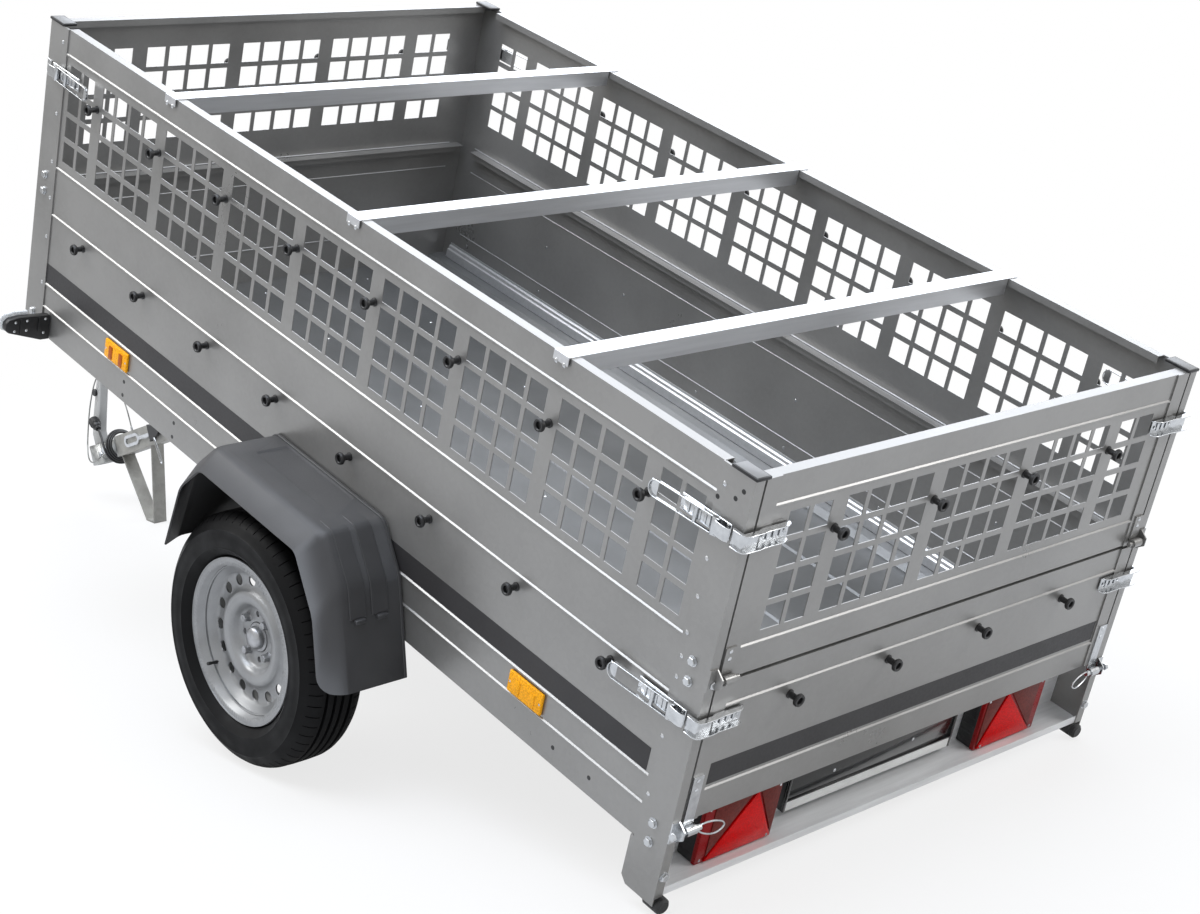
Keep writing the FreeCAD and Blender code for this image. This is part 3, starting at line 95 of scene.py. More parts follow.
class StageSettings(PropertyGroup):
    """Light and camera of the stage"""

    overhead_power: FloatProperty(name="Overhead", description="Light from above", default=270, unit="POWER")
    far_power: FloatProperty(name="Far", description="Light from beyond the box", default=235, unit="POWER")
    front_power: FloatProperty(name="Front", description="Light from ahead, left", default=150, unit="POWER")
    rear_power: FloatProperty(name="Rear", description="Light from behind, right", default=118, unit="POWER")
    lens: FloatProperty(name="Lens", description="36 mm sensor", default=65.14, subtype="DISTANCE_CAMERA")


SETTINGS = {
    "trailer_sizes": TrailerSizes,
    "trailer_colours": TrailerColours,
    "trailer_stage": StageSettings,
}


# ---------------------------------------------------------------- where things are
wheel_low, wheel_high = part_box("tyre_left")
WHEEL_CENTRE = (wheel_low + wheel_high) / 2
HALF_TRACK = WHEEL_CENTRE.y
HINGE = Vector(next(joint["pos_m"] for joint in frame["joints"] if joint["name"] == "drawbar_tip"))
AXLE_IN_BOX = Vector((1107, 0, -150))
TIP = 15.6  # degrees that the box tips back
SLOPE = 20.6  # degrees that the drawbar slopes down


def at(x, y, z, turn=Matrix()):
    """A place in a frame, turned there."""
    return Matrix.Translation((x, y, z)) @ turn


def spun(degrees, axis):
    """A turn about an axis."""
    return Matrix.Rotation(math.radians(degrees), 4, axis)


IN_BOX = at(WHEEL_CENTRE.x, 0, WHEEL_CENTRE.z, spun(-TIP, "Y")) @ Matrix.Translation(-AXLE_IN_BOX * MM)
IN_DRAWBAR = at(*HINGE, spun(SLOPE, "Y"))
BOX = IN_BOX @ Matrix.Scale(MM, 4)
DRAWBAR = IN_DRAWBAR @ Matrix.Scale(MM, 4)

LEFTWARDS, RIGHTWARDS = spun(-90, "X"), spun(90, "X")
REARWARDS, FORWARDS = spun(-90, "Y"), spun(90, "Y")
SEEN_FROM_REAR = Matrix(((0, 0, -1), (-1, 0, 0), (0, 1, 0))).to_4x4()
SEEN_FROM_FRONT = Matrix(((0, 0, 1), (1, 0, 0), (0, 1, 0))).to_4x4()
BOTH_SIDES = (Matrix(), Matrix.Scale(-1, 4, (0, 1, 0)))
WHEELS = (("left", 1), ("right", -1))

WALL_FACE = 647  # outer face of the side walls, from the middle
POST_FACE = 650  # outer face of the corner posts, from the middle
GATE_FACE = 3  # rear face of the tailgate and the rear mesh panel
POST_FRONT = 2372  # front face of the front posts
KNOB_ROWS = (286, 632)  # heights on the lower walls and on the mesh walls
LATCH_ROWS = (288, 660)
PIN_HEIGHT = 60  # the tailgate's linch pins


def sides(*places):
    """Each place on the left side and its mirror image on the right side."""
    return [side @ place for place in places for side in BOTH_SIDES]


def on_wheel(side):
    """The frame of the left (1) or right (-1) wheel, in millimetres."""
    turn = LEFTWARDS if side > 0 else RIGHTWARDS
    return at(WHEEL_CENTRE.x, side * HALF_TRACK, WHEEL_CENTRE.z, turn) @ Matrix.Scale(MM, 4)


# ---------------------------------------------------------------- shapes
def round_off(shape, items, radius, segments=2, affect="EDGES"):
    """Rounds the edges or the corners of a shape."""
    bmesh.ops.bevel(
        shape, geom=items, offset=radius, offset_type="OFFSET", segments=segments, profile=0.5,
        affect=affect, clamp_overlap=True, material=-1
    )


def only(items, kind):
    """The items of a bmesh result that are of that kind."""
    return [item for item in items if isinstance(item, kind)]


def block(low, high, radius=0.0, segments=2):
    """A block between two corners with rounded edges."""
    low, high = Vector(low), Vector(high)
    shape = bmesh.new()
    bmesh.ops.create_cube(shape, size=1.0)
    bmesh.ops.scale(shape, vec=high - low, verts=shape.verts)
    bmesh.ops.translate(shape, vec=(low + high) / 2, verts=shape.verts)
    if radius:
        round_off(shape, shape.edges[:], radius, segments)
    return shape


def slab(outline, thickness, radius=0.0, segments=2):
    """A plate of an outline in x and y, from z 0 upwards, with rounded edges."""
    shape = bmesh.new()
    face = shape.faces.new([shape.verts.new((x, y, 0)) for x, y in outline])
    raised = bmesh.ops.extrude_face_region(shape, geom=[face])["geom"]
    bmesh.ops.translate(shape, vec=(0, 0, thickness), verts=only(raised, BMVert))
    bmesh.ops.recalc_face_normals(shape, faces=shape.faces)
    if radius:
        round_off(shape, shape.edges[:], radius, segments)
    return shape


def turned(profile, steps=24, closed=False):
    """A shape turned about z from (radius, height) points."""
    shape = bmesh.new()
    points = [shape.verts.new((radius, 0, height)) for radius, height in profile]
    edges = [shape.edges.new(pair) for pair in zip(points, points[1:])]
    if closed:
        edges.append(shape.edges.new((points[-1], points[0])))
    bmesh.ops.spin(
        shape, geom=points + edges, axis=(0, 0, 1), cent=(0, 0, 0), angle=math.tau, steps=steps,
        use_merge=True
    )
    bmesh.ops.remove_doubles(shape, verts=shape.verts, dist=0.001)
    bmesh.ops.recalc_face_normals(shape, faces=shape.faces)
    return shape


def ribbon(path, width, thickness, fold, segments=4, soften=0.0):
    """A strip of sheet that follows a path in x and y with rounded folds, as wide as asked along z."""
    shape = bmesh.new()
    points = [shape.verts.new((x, y, 0)) for x, y in path]
    edges = [shape.edges.new(pair) for pair in zip(points, points[1:])]
    raised = bmesh.ops.extrude_edge_only(shape, edges=edges)["geom"]
    bmesh.ops.translate(shape, vec=(0, 0, width), verts=only(raised, BMVert))
    folds = [edge for edge in shape.edges if len(edge.link_faces) == 2]
    round_off(shape, folds, fold, segments)
    bmesh.ops.recalc_face_normals(shape, faces=shape.faces)
    bmesh.ops.solidify(shape, geom=shape.faces[:], thickness=thickness)
    bmesh.ops.recalc_face_normals(shape, faces=shape.faces)
    if soften:
        rims = [edge for edge in shape.edges if edge.calc_face_angle(0) > 1.2]
        round_off(shape, rims, soften, 1)
    return shape


def nurbs(name, points, thickness, fineness, closed=False):
    """A round curve that bends smoothly along its points."""
    curve = bpy.data.curves.new(name, "CURVE")
    curve.dimensions = "3D"
    curve.bevel_depth = thickness / 2
    curve.bevel_resolution = fineness
    curve.resolution_u = 8
    curve.use_fill_caps = not closed
    spline = curve.splines.new("NURBS")
    spline.points.add(len(points) - 1)
    for point, place in zip(spline.points, points):
        point.co = (*place, 1)
    spline.order_u = 3
    spline.use_cyclic_u = closed
    spline.use_endpoint_u = not closed
    return bpy.data.objects.new(name, curve)


def wire(points, thickness, closed=False):
    """A round wire along a few points."""
    holder = nurbs("wire", points, thickness, 2, closed)
    mesh = bpy.data.meshes.new_from_object(holder)
    bpy.data.objects.remove(holder)
    shape = bmesh.new()
    shape.from_mesh(mesh)
    bpy.data.meshes.remove(mesh)
    bmesh.ops.remove_doubles(shape, verts=shape.verts, dist=0.001)
    return shape


def put(target, part, *places):
    """Adds a part to a shape at each of the places."""
    mesh = bpy.data.meshes.new("part")
    part.to_mesh(mesh)
    part.free()
    for place in places or (Matrix(),):
        start = len(target.verts)
        target.from_mesh(mesh)
        target.verts.ensure_lookup_table()
        bmesh.ops.transform(target, matrix=place, verts=target.verts[start:])
    bpy.data.meshes.remove(mesh)
    return target


def copies(part, *places):
    """A shape made of a part at each of the places."""
    return put(bmesh.new(), part, *places)


def piece(name, shape, finish, body="box", place=None, stands_for=None, smooth=34):
    """Puts a shape in its body's frame, as a piece of that finish that may stand for a CAD node."""
    place = place or (DRAWBAR if body == "drawbar" else BOX)
    bmesh.ops.transform(shape, matrix=place, verts=shape.verts)
    bmesh.ops.recalc_face_normals(shape, faces=shape.faces)
    mesh = bpy.data.meshes.new(name)
    shape.to_mesh(mesh)
    shape.free()
    mesh.shade_smooth()
    mesh.set_sharp_from_angle(angle=math.radians(smooth))
    mesh.materials.append(FINISHES[finish])
    made = bpy.data.objects.new(name, mesh)
    bpy.context.scene.collection.objects.link(made)
    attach(made, body)
    if stands_for:
        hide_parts(stands_for)
    return made


def smoothed(node, finish, body):
    """A copy of a CAD node with its triangles joined, so that its curves shade smoothly."""
    shape = bmesh.new()
    shape.from_mesh(frame["nodes"][node].data)
    bmesh.ops.remove_doubles(shape, verts=shape.verts, dist=0.00001)
    return piece(node + "_smooth", shape, finish, body, Matrix(), node, 30)


def rivet(radius):
    """The domed head of a blind rivet."""
    dome = [(0, 0.5), (0.55, 0.42), (1, 0.1), (1, 0), (0, 0)]
    return turned([(radius * across, radius * up) for across, up in dome], 10)


def bolt(radius):
    """A hexagon head on its washer."""
    shape = turned([(0, 1.5), (radius, 1.5), (radius, 6.2), (radius * 0.86, 7.2), (0, 7.2)], 6)
    return put(shape, turned([(0, 0), (radius * 1.25, 0), (radius * 1.25, 1.5), (0, 1.5)], 18))


# ---------------------------------------------------------------- materials
FINISHES = {}
PATTERNS = {  # texture node and its output
    "clouds": ("TexNoise", "Fac"),
    "crystals": ("TexVoronoi", "Color"),
    "prisms": ("TexVoronoi", "Distance"),
}


def linear(code, share=1.0):
    """The linear RGBA value of an sRGB hex colour, made darker or lighter by a share."""
    values = [min(255, round(int(code[i : i + 2], 16) * share)) / 255 for i in (1, 3, 5)]
    return [v / 12.92 if v <= 0.04045 else ((v + 0.055) / 1.055) ** 2.4 for v in values] + [1.0]


def add_node(holder, kind, inputs=(), **settings):
    """Adds a shader node with its settings, and with its input sockets set or linked."""
    tree = holder.node_tree
    node = tree.nodes.new("ShaderNode" + kind)
    for name, value in settings.items():
        setattr(node, name, value)
    for name, value in dict(inputs).items():
        if isinstance(value, NodeSocket):
            tree.links.new(value, node.inputs[name])
        else:
            node.inputs[name].default_value = value
    return node


def pattern(material, where, kind, size_mm, detail=0.0, stretch=None):
    """A pattern of that real size in the object's own space, drawn out where a stretch is given."""
    if stretch:
        where = add_node(material, "Mapping", {"Vector": where, "Scale": stretch}).outputs["Vector"]
    texture, output = PATTERNS[kind]
    inputs = {"Vector": where, "Scale": 1 / (size_mm * MM), "Detail": detail}
    return add_node(material, texture, inputs).outputs[output]


def make_finish(
    name, code, metallic, roughness, broad, fine=None, share=0.0, tones=(0.95, 1.06), span=(0.3, 0.7),
    shine_by="mixed", relief=0.0, relief_by="fine", **sockets
):
    """A material with one Principled surface.

    Its colour runs between two tones, which are shares of the hex code, over a span of the broad pattern
    with a share of the fine one added. Roughness and relief (in millimetres) follow that mixed pattern or
    the fine one.
    """
    material = bpy.data.materials.new(name)
    material.use_nodes = True
    links = material.node_tree.links
    shader = material.node_tree.nodes["Principled BSDF"].inputs
    shader["Metallic"].default_value = metallic
    for socket, value in sockets.items():
        shader[socket.replace("_", " ")].default_value = value
    where = add_node(material, "TexCoord").outputs["Object"]
    by = {"mixed": pattern(material, where, *broad)}
    by["fine"] = pattern(material, where, *fine) if fine else by["mixed"]
    if share:
        sum_of = {0: by["fine"], 1: share, 2: by["mixed"]}
        by["mixed"] = add_node(material, "Math", sum_of, operation="MULTIPLY_ADD").outputs["Value"]
    spread = add_node(material, "MapRange", {"Value": by["mixed"], "From Min": span[0], "From Max": span[1]})
    mix = {"Factor": spread.outputs["Result"], 6: linear(code, tones[0]), 7: linear(code, tones[1])}
    links.new(add_node(material, "Mix", mix, data_type="RGBA").outputs[2], shader["Base Color"])
    shine = add_node(material, "MapRange", {"Value": by[shine_by], "From Min": 0.3, "From Max": 0.7})
    shine.inputs["To Min"].default_value, shine.inputs["To Max"].default_value = roughness
    links.new(shine.outputs["Result"], shader["Roughness"])
    if relief:
        height = {"Height": by[relief_by], "Strength": 0.4, "Distance": relief * MM}
        links.new(add_node(material, "Bump", height).outputs["Normal"], shader["Normal"])
    return material


def folded_section(name, code, metallic, roughness):
    """Folded sections of bright galvanised sheet: a clear even shine with long soft streaks."""
    streaks = ("clouds", 9, 2, (1, 0.06, 1))
    return make_finish(name, code, metallic, (roughness, roughness + 0.03), streaks, tones=(0.975, 1.025))


def moulded(name, code, roughness, grain_mm, **sockets):
    """Moulded plastic with the leathery grain of its mould, which breaks up its shine.

    Real grain is about a tenth of a millimetre. It is drawn ten times as coarse or more, so that it shows.
    """
    shine = (roughness - 0.05, roughness + 0.07)
    grain = ("clouds", grain_mm, 3)
    return make_finish(
        name, code, 0.0, shine, ("clouds", 90, 2), grain, shine_by="fine", relief=0.06, **sockets
    )


def prismatic(name, code, prism_mm, depth=0.8):
    """Moulded acrylic over rows of small prisms under a smooth face. Its colour is painted darker at each prism's
    middle and lighter at its edges, a painted glint in a fine grid, and the prisms are bumped as well.

    Real prisms are 1 to 2 mm wide, and are drawn about twice as coarse, so that they show.
    """
    prisms = ("prisms", prism_mm)
    # the tones paint each prism darker in its middle and lighter at its edges: painted glint of the facets
    return make_finish(
        name, code, 0.0, (0.3, 0.3), prisms, tones=(0.82, 1.08), span=(0.1, 0.7), relief=depth,
        Specular_IOR_Level=0.14
    )


def worn(name, code, roughness, grain_mm, depth_mm):
    """Plain or cast metal with its machining or casting skin, and greasy darker patches.

    The skin is really a few tenths of a millimetre fine, and is drawn coarser, so that it shows.
    """
    shine = (roughness - 0.08, roughness + 0.12)
    skin = ("clouds", grain_mm, 2)
    return make_finish(name, code, 0.9, shine, ("clouds", 22, 4), skin, tones=(0.78, 1.1), relief=depth_mm)


# ---------------------------------------------------------------- operators
class TRAILER_OT_finishes(Operator):
    """Mixes the finishes of sheet metal, fittings, plastics, lenses and rubber"""

    bl_idname = "trailer.finishes"
    bl_label = "Mix the finishes"

    def execute(self, context):
        colours = context.scene.trailer_colours
        spangle = ("crystals", context.scene.trailer_sizes.spangle / MM)
        FINISHES.update(
            # sheet galvanised in the coil: a soft even sheen, with faint zinc crystals up close
            galvanised=make_finish(
                "steel_sheet_galvanised", colours.sheet, 0.6, (0.27, 0.38), ("clouds", 240, 3), spangle,
                0.12, (0.95, 1.04)
            ),
            # tubes dipped in zinc after welding: duller and cloudier than sheet, with drips
            dipped=make_finish(
                "steel_tube_hot_dipped", "#A5A49F", 0.7, (0.42, 0.6), ("clouds", 60, 4), ("crystals", 12),
                0.2, (0.805, 1.0), (0.35, 0.8), relief=0.15, relief_by="mixed"
            ),
            bright=folded_section("steel_section_galvanised_bright", "#CBCCCE", 0.75, 0.3),
            # near-white, less metallic copy of the bright sections for the rear rail: painted light on a shelf
            # that sits in shade
            satin=folded_section("steel_section_galvanised_satin", "#E9EAEB", 0.3, 0.5),
            # floor sheet with a dark organic coating: a satin grey with fine scuffs from loads
            dark_floor=make_finish(
                "steel_sheet_coated_dark", colours.floor, 0.4, (0.28, 0.42), ("clouds", 180, 3),
                ("clouds", 4, 3, (0.08, 1, 1)), 0.35, (0.9, 1.08), (0.45, 0.9), "fine"
            ),
            # pressed fittings plated with bright zinc: crisp highlights, slightly uneven plating
            zinc=make_finish(
                "steel_pressed_zinc_plated", colours.zinc, 1.0, (0.2, 0.26), ("clouds", 14, 3),
                tones=(0.94, 1.03)
            ),
            black_plastic=moulded("polypropylene_moulded", colours.plastic, 0.4, 1.2),
            fender_plastic=moulded(
                "polyethylene_fender_grained", "#3E3E3F", 0.42, 1.6, Specular_IOR_Level=0.3
            ),
            gloss_black=moulded("abs_gloss_black", "#121213", 0.14, 3.0, Coat_Weight=0.5),
            # grey for the caps' tops, lighter than their black skirts: a painted sheen of light on faces that look
            # up
            cap_grey=moulded("polyethylene_cap_grey", "#6E6E6D", 0.45, 1.5),
            pale_strip=moulded("pvc_strip_pale", "#E4E4E2", 0.35, 2.0),
            vinyl=moulded("vinyl_film_charcoal", colours.stripe, 0.42, 6.0, Specular_IOR_Level=0.3),
            red_rim=moulded("acrylic_rim_dark_red", "#8A0509", 0.3, 3.0, Specular_IOR_Level=0.25),
            grey_handle=moulded("polyamide_handle_grey", "#A3A3A1", 0.4, 1.0),
            black_sheath=moulded("pvc_cable_sheath", "#1A1A1A", 0.42, 1.0),
            red_lens=prismatic("acrylic_reflex_red", colours.red, 3.0),
            red_facet=prismatic("acrylic_facet_smoked_red", "#6A2A24", 5.0, 0.4),
            amber_reflector=prismatic("acrylic_reflex_amber", colours.amber, 3.0),
            amber_bar=prismatic("acrylic_prism_bar_amber", "#A4500A", 2.0),
            clear_lens=prismatic("acrylic_clear_fluted", "#E4E6E6", 4.0),
            # vulcanised rubber: deep grey with a dull bloom; the mould's fine grain is drawn coarser to show
            tyre=make_finish(
                "rubber_vulcanised", colours.rubber, 0.0, (0.46, 0.64), ("clouds", 40, 4),
                ("clouds", 1.2, 2), tones=(0.82, 1.2), relief=0.08, Specular_IOR_Level=0.14
            ),
            # pressed steel sprayed with silver paint: a soft shine with flakes, drawn coarser to show
            silver_wheel=make_finish(
                "steel_painted_silver", colours.wheel, 0.5, (0.28, 0.4), ("clouds", 50, 2),
                ("crystals", 1.5), 0.15, (0.93, 1.05), (0.35, 0.85)
            ),
            hub_casting=worn("steel_hub_machined", "#A3A4A6", 0.32, 1.0, 0.05),
            coupling_steel=worn("steel_coupling_galvanised", "#A9AAA8", 0.36, 2.0, 0.08),
            wire_rope=worn("steel_wire_rope", "#8F8F8D", 0.35, 0.8, 0.2),
        )
        return {"FINISHED"}


SOFTBOXES = {  # place, size and colour
    "overhead": ((-0.6, 1.1, 4.8), (4.6, 3.4), "#EAF2FF"),
    "far": ((2.9, -4.6, 4.5), (6.6, 3.2), "#ECF3FF"),
    "rear": ((-4.6, -3.2, 3.8), (2.5, 1.6), "#FFFFFF"),
    "front": ((3.0, 3.0, 4.8), (3.0, 2.4), "#FFFFFF"),
}
LIGHTS_AIM = Vector((0.0, 0.0, 0.6))
CAMERA_PLACE = (WHEEL_CENTRE.x - 3.678729, 3.156082, 1.812438)
CAMERA_ANGLES = (77.466184, -0.673326, -133.279104)
CAMERA_SHIFT = (-0.03325, -0.07141)
FLOOR_SIZE = 60.0
FLOOR_SHADE = {"From Min": 1.6, "From Max": 3.4, "To Min": 0.78}  # how white it is near and far
FLOOR_MIRRORED = 0.75  # how much darker the sheets mirror the floor than it looks
WORLD_LIGHT = 0.5


class TRAILER_OT_stage(Operator):
    """Builds the floor, the light and the camera"""

    bl_idname = "trailer.stage"
    bl_label = "Build the stage"

    def execute(self, context):
        scene = context.scene
        settings = scene.trailer_stage
        shape = bmesh.new()
        bmesh.ops.create_grid(shape, x_segments=1, y_segments=1, size=FLOOR_SIZE)
        mesh = bpy.data.meshes.new("stage_floor")
        shape.to_mesh(mesh)
        shape.free()
        floor = bpy.data.objects.new("stage_floor", mesh)
        scene.collection.objects.link(floor)
        mesh.materials.append(floor_paint())
        light_world(scene)
        for name, (place, size, code) in SOFTBOXES.items():
            softbox(scene, name + "_softbox", place, size, getattr(settings, name + "_power"), code)
        scene.view_settings.view_transform = "Standard"
        data = bpy.data.cameras.new("camera")
        data.sensor_width = 36.0
        data.lens = settings.lens
        data.shift_x, data.shift_y = CAMERA_SHIFT
        camera = bpy.data.objects.new("camera", data)
        camera.location = CAMERA_PLACE
        camera.rotation_euler = [math.radians(angle) for angle in CAMERA_ANGLES]
        scene.collection.objects.link(camera)
        scene.camera = camera
        return {"FINISHED"}


def seen_directly(holder, path):
    """A socket that is 1 for camera, glossy and transmission rays. The holder is a world or material."""
    share = path["Is Camera Ray"]
    for ray in ("Is Glossy Ray", "Is Transmission Ray"):
        share = add_node(holder, "Math", {0: share, 1: path[ray]}, operation="MAXIMUM").outputs["Value"]
    return share


def light_world(scene):
    """A soft even world, white where it is seen directly."""
    world = bpy.data.worlds.new("studio")
    scene.world = world
    world.use_nodes = True
    background = world.node_tree.nodes["Background"].inputs
    background["Color"].default_value = (1, 1, 1, 1)
    seen = seen_directly(world, add_node(world, "LightPath").outputs)
    strength = add_node(world, "MapRange", {"Value": seen, "To Min": WORLD_LIGHT, "To Max": 1.0})
    world.node_tree.links.new(strength.outputs["Result"], background["Strength"])


def floor_paint():
    """Matt pale studio floor that keeps the trailer's shadow and turns to a white background."""
    material = bpy.data.materials.new("studio_floor_matt")
    material.use_nodes = True
    tree = material.node_tree
    shader = tree.nodes["Principled BSDF"]
    paint = {"Base Color": linear("#D8D8D8"), "Roughness": 0.9, "Specular IOR Level": 0.1}
    for socket, value in paint.items():
        shader.inputs[socket].default_value = value
    where = add_node(material, "TexCoord").outputs["Object"]
    away = add_node(material, "VectorMath", {0: where}, operation="LENGTH").outputs["Value"]
    far = add_node(material, "MapRange", {"Value": away, **FLOOR_SHADE}, interpolation_type="SMOOTHSTEP")
    path = add_node(material, "LightPath").outputs
    mirrored = {0: path["Is Glossy Ray"], 1: -FLOOR_MIRRORED, 2: 1.0}
    share = seen_directly(material, path)
    for other in (far, add_node(material, "Math", mirrored, operation="MULTIPLY_ADD")):
        share = add_node(material, "Math", {0: share, 1: other.outputs[0]}, operation="MULTIPLY").outputs[0]
    white = add_node(material, "Emission", {"Color": (1, 1, 1, 1), "Strength": 1.0})
    both = {0: share, 1: shader.outputs["BSDF"], 2: white.outputs["Emission"]}
    mix = add_node(material, "MixShader", both)
    tree.links.new(mix.outputs["Shader"], tree.nodes["Material Output"].inputs["Surface"])
    return material


def softbox(scene, name, place, size, power, code):
    """A rectangular area light that the camera doesn't see."""
    data = bpy.data.lights.new(name, "AREA")
    data.shape = "RECTANGLE"
    data.size, data.size_y = size
    data.energy = power
    data.color = linear(code)[:3]
    lamp = bpy.data.objects.new(name, data)
    lamp.location = place
    lamp.rotation_euler = (LIGHTS_AIM - Vector(place)).to_track_quat("-Z", "Y").to_euler()
    lamp.visible_camera = False
    scene.collection.objects.link(lamp)


# In the drawbar frame, in metres.
LEAD_START = [(1.000, -0.040, 0.012), (1.055, -0.041, 0.016)]
LEAD_END = [(1.124, 0.0465, 0.0395), (1.150, 0.037, 0.066)]
COIL_TURNS, COIL_POINTS = 3.44, 44
COIL_START, COIL_WIDTH = 1.0925, 0.021
COIL_INNER, COIL_SWELL = 0.038, 0.014
LEAD_THICKNESS, CABLE_THICKNESS = 0.007, 0.004
SAFETY_ROUTE = [
    (1.140, 0.030, -0.008), (1.146, 0.052, -0.016), (1.180, 0.060, -0.030), (1.222, 0.052, -0.014),
    (1.240, 0.036, 0.030), (1.240, 0.022, 0.078), (1.222, 0.016, 0.126), (1.192, 0.014, 0.168),
    (1.158, 0.012, 0.206), (1.122, 0.004, 0.236), (1.086, -0.008, 0.212), (1.066, -0.014, 0.166),
    (1.056, -0.016, 0.112), (1.050, -0.015, 0.066), (1.050, -0.015, 0.038),
]


def cord(name, route, thickness, finish):
    """A cord along the control points of its route."""
    made = nurbs(name, [IN_DRAWBAR @ Vector(place) for place in route], thickness, 3)
    made.data.materials.append(FINISHES[finish])
    bpy.context.scene.collection.objects.link(made)
    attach(made, "drawbar")
    return made


class TRAILER_OT_lead(Operator):
    """Winds the electric lead in its coil on the coupling's neck, with its gland and plug"""

    bl_idname = "trailer.lead"
    bl_label = "Lead and plug"

    def execute(self, context):
        coil = []
        for step in range(COIL_POINTS + 1):
            share = step / COIL_POINTS
            angle = math.radians(200) + math.tau * COIL_TURNS * share
            radius = COIL_INNER + COIL_SWELL * share
            across, up = radius * math.cos(angle), radius * math.sin(angle)
            coil.append((COIL_START + COIL_WIDTH * share, across, 0.002 + up))
        boot = [(7.5, -8), (7.5, 0), (6.6, 1.5), (6.6, 7), (5.2, 9), (4.0, 26), (3.7, 26), (3.7, -8)]
        boot = turned(boot, 20, True)
        for rib in (10, 14, 18, 22):
            radius = 5.4 - 0.07 * (rib - 9)
            put(boot, turned([(3.7, rib), (radius, rib), (radius, rib + 1.8), (3.7, rib + 1.8)], 16, True))
        boot = put(copies(boot, at(992, -40, 12, FORWARDS)), block((968, -48, 3), (992, -30, 21), 2))
        gland = piece("lead_gland_boot", boot, "black_plastic", "drawbar", stands_for="lead_gland")
        grip = [(0, 0), (7.5, 0), (9, 2), (9, 8), (11, 10), (13.5, 14), (13.5, 20), (15, 21.5), (15, 45)]
        grip = turned(grip + [(14, 46), (12, 46), (12, 36), (0, 36)], 28)
        rib = block((14.2, -1.2, 23), (16.2, 1.2, 43), 0.6, 1)
        put(grip, rib, *[spun(30 * turn, "Z") for turn in range(12)])
        pin = turned([(0, 34), (1.6, 34), (1.6, 43), (0, 43.8)], 8)
        put(grip, pin, *[Matrix.Rotation(turn, 4, "Z") @ at(7, 0, 0) for turn in range(6)])
        aim = Vector((0.7, -0.17, 0.694)).to_track_quat("Z", "Y").to_matrix().to_4x4()
        shell = copies(grip, at(1150, 37, 66, aim))
        plug = piece("lead_plug_shell", shell, "black_plastic", "drawbar", stands_for="lead_plug")
        route = LEAD_START + coil + LEAD_END
        lead = cord("electric_lead", route, LEAD_THICKNESS, "black_sheath")
        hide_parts("lead", "lead_coil", "lead_tail")
        return {"FINISHED"}


class TRAILER_OT_safety_cable(Operator):
    """Hangs the breakaway cable between its two eyes"""

    bl_idname = "trailer.safety_cable"
    bl_label = "Safety cable"

    def execute(self, context):
        cable = cord("breakaway_cable", SAFETY_ROUTE, CABLE_THICKNESS, "wire_rope")
        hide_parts("safety_cable")
        ferrule = turned([(0, 0), (5, 0), (5, 3), (3.4, 4), (3.4, 16), (2.6, 17), (0, 17)], 16)
        ends = copies(ferrule, at(1140, 22, -8, LEFTWARDS), at(1050, -15, 30))
        piece("cable_ferrules", ends, "zinc", "drawbar", stands_for="cable_eyes")
        return {"FINISHED"}


DIPPED = "drawbar_beam axle_beam swing_arms drawbar_foot drawbar_bracket axle_brackets chassis_rails".split()
FINISH_OF_NODE = dict.fromkeys(DIPPED, "dipped")
FINISH_OF_NODE.update(
    # the rear rail takes the near-white copy: painted light on its shaded shelf
    cross_bars="bright", rear_rail="satin", mesh_hinge_pins="galvanised", mesh_hinge_straps="galvanised"
)


class TRAILER_OT_frame(Operator):
    """Gives every part of the frame its own finish"""

    bl_idname = "trailer.frame"
    bl_label = "Finish the frame"

    def execute(self, context):
        slots = {part["node"]: part["material_slot"] for part in frame["record"]["subparts"]}
        for name, node in frame["nodes"].items():
            node.data.materials.clear()
            node.data.materials.append(FINISHES[FINISH_OF_NODE.get(name, slots[name])])
        return {"FINISHED"}


class TRAILER_OT_stripes(Operator):
    """Lays the charcoal bands on the side walls and the tailgate"""

    bl_idname = "trailer.stripes"
    bl_label = "Charcoal bands"

    def execute(self, context):
        bands = copies(block((90, WALL_FACE, 136), (2293, WALL_FACE + 0.5, 185), 0.2, 1), *BOTH_SIDES)
        piece("side_bands", bands, "vinyl")
        band = block((GATE_FACE - 0.5, -581, 141), (GATE_FACE, 581, 187), 0.2, 1)
        piece("tailgate_band", band, "vinyl", "tailgate")
        return {"FINISHED"}


KNOB_PITCH = 272.8


class TRAILER_OT_knobs(Operator):
    """Sets the tarpaulin knobs in their two rows round the box"""

    bl_idname = "trailer.knobs"
    bl_label = "Tarpaulin knobs"

    def execute(self, context):
        sizes = context.scene.trailer_sizes
        head, reach = sizes.knob_head / MM, sizes.knob_reach / MM
        knob = [
            (0, 0), (head * 0.7, 0), (head * 0.7, 2), (head * 0.5, 3.5), (head * 0.46, reach * 0.6),
            (head * 0.86, reach * 0.68), (head, reach * 0.76), (head, reach * 0.9), (head * 0.9, reach),
            (head * 0.66, reach), (head * 0.55, reach - 1.5), (head * 0.5, reach - 6), (0, reach - 6),
        ]
        along = [POST_FRONT / 2 + KNOB_PITCH * (step - 3.5) for step in range(8)]
        across = [KNOB_PITCH * (step - 1.5) for step in range(4)]
        places = sides(*[at(x, WALL_FACE, z, LEFTWARDS) for x in along for z in KNOB_ROWS])
        places += [at(POST_FRONT - 3, y, z, FORWARDS) for y in across for z in KNOB_ROWS]
        piece("box_knobs", copies(turned(knob, 20), *places), "black_plastic")
        for body, height in zip(("tailgate", "rear_mesh"), KNOB_ROWS):
            places = [at(GATE_FACE, y, height, REARWARDS) for y in across]
            piece(body + "_knobs", copies(turned(knob, 20), *places), "black_plastic", body)
        return {"FINISHED"}


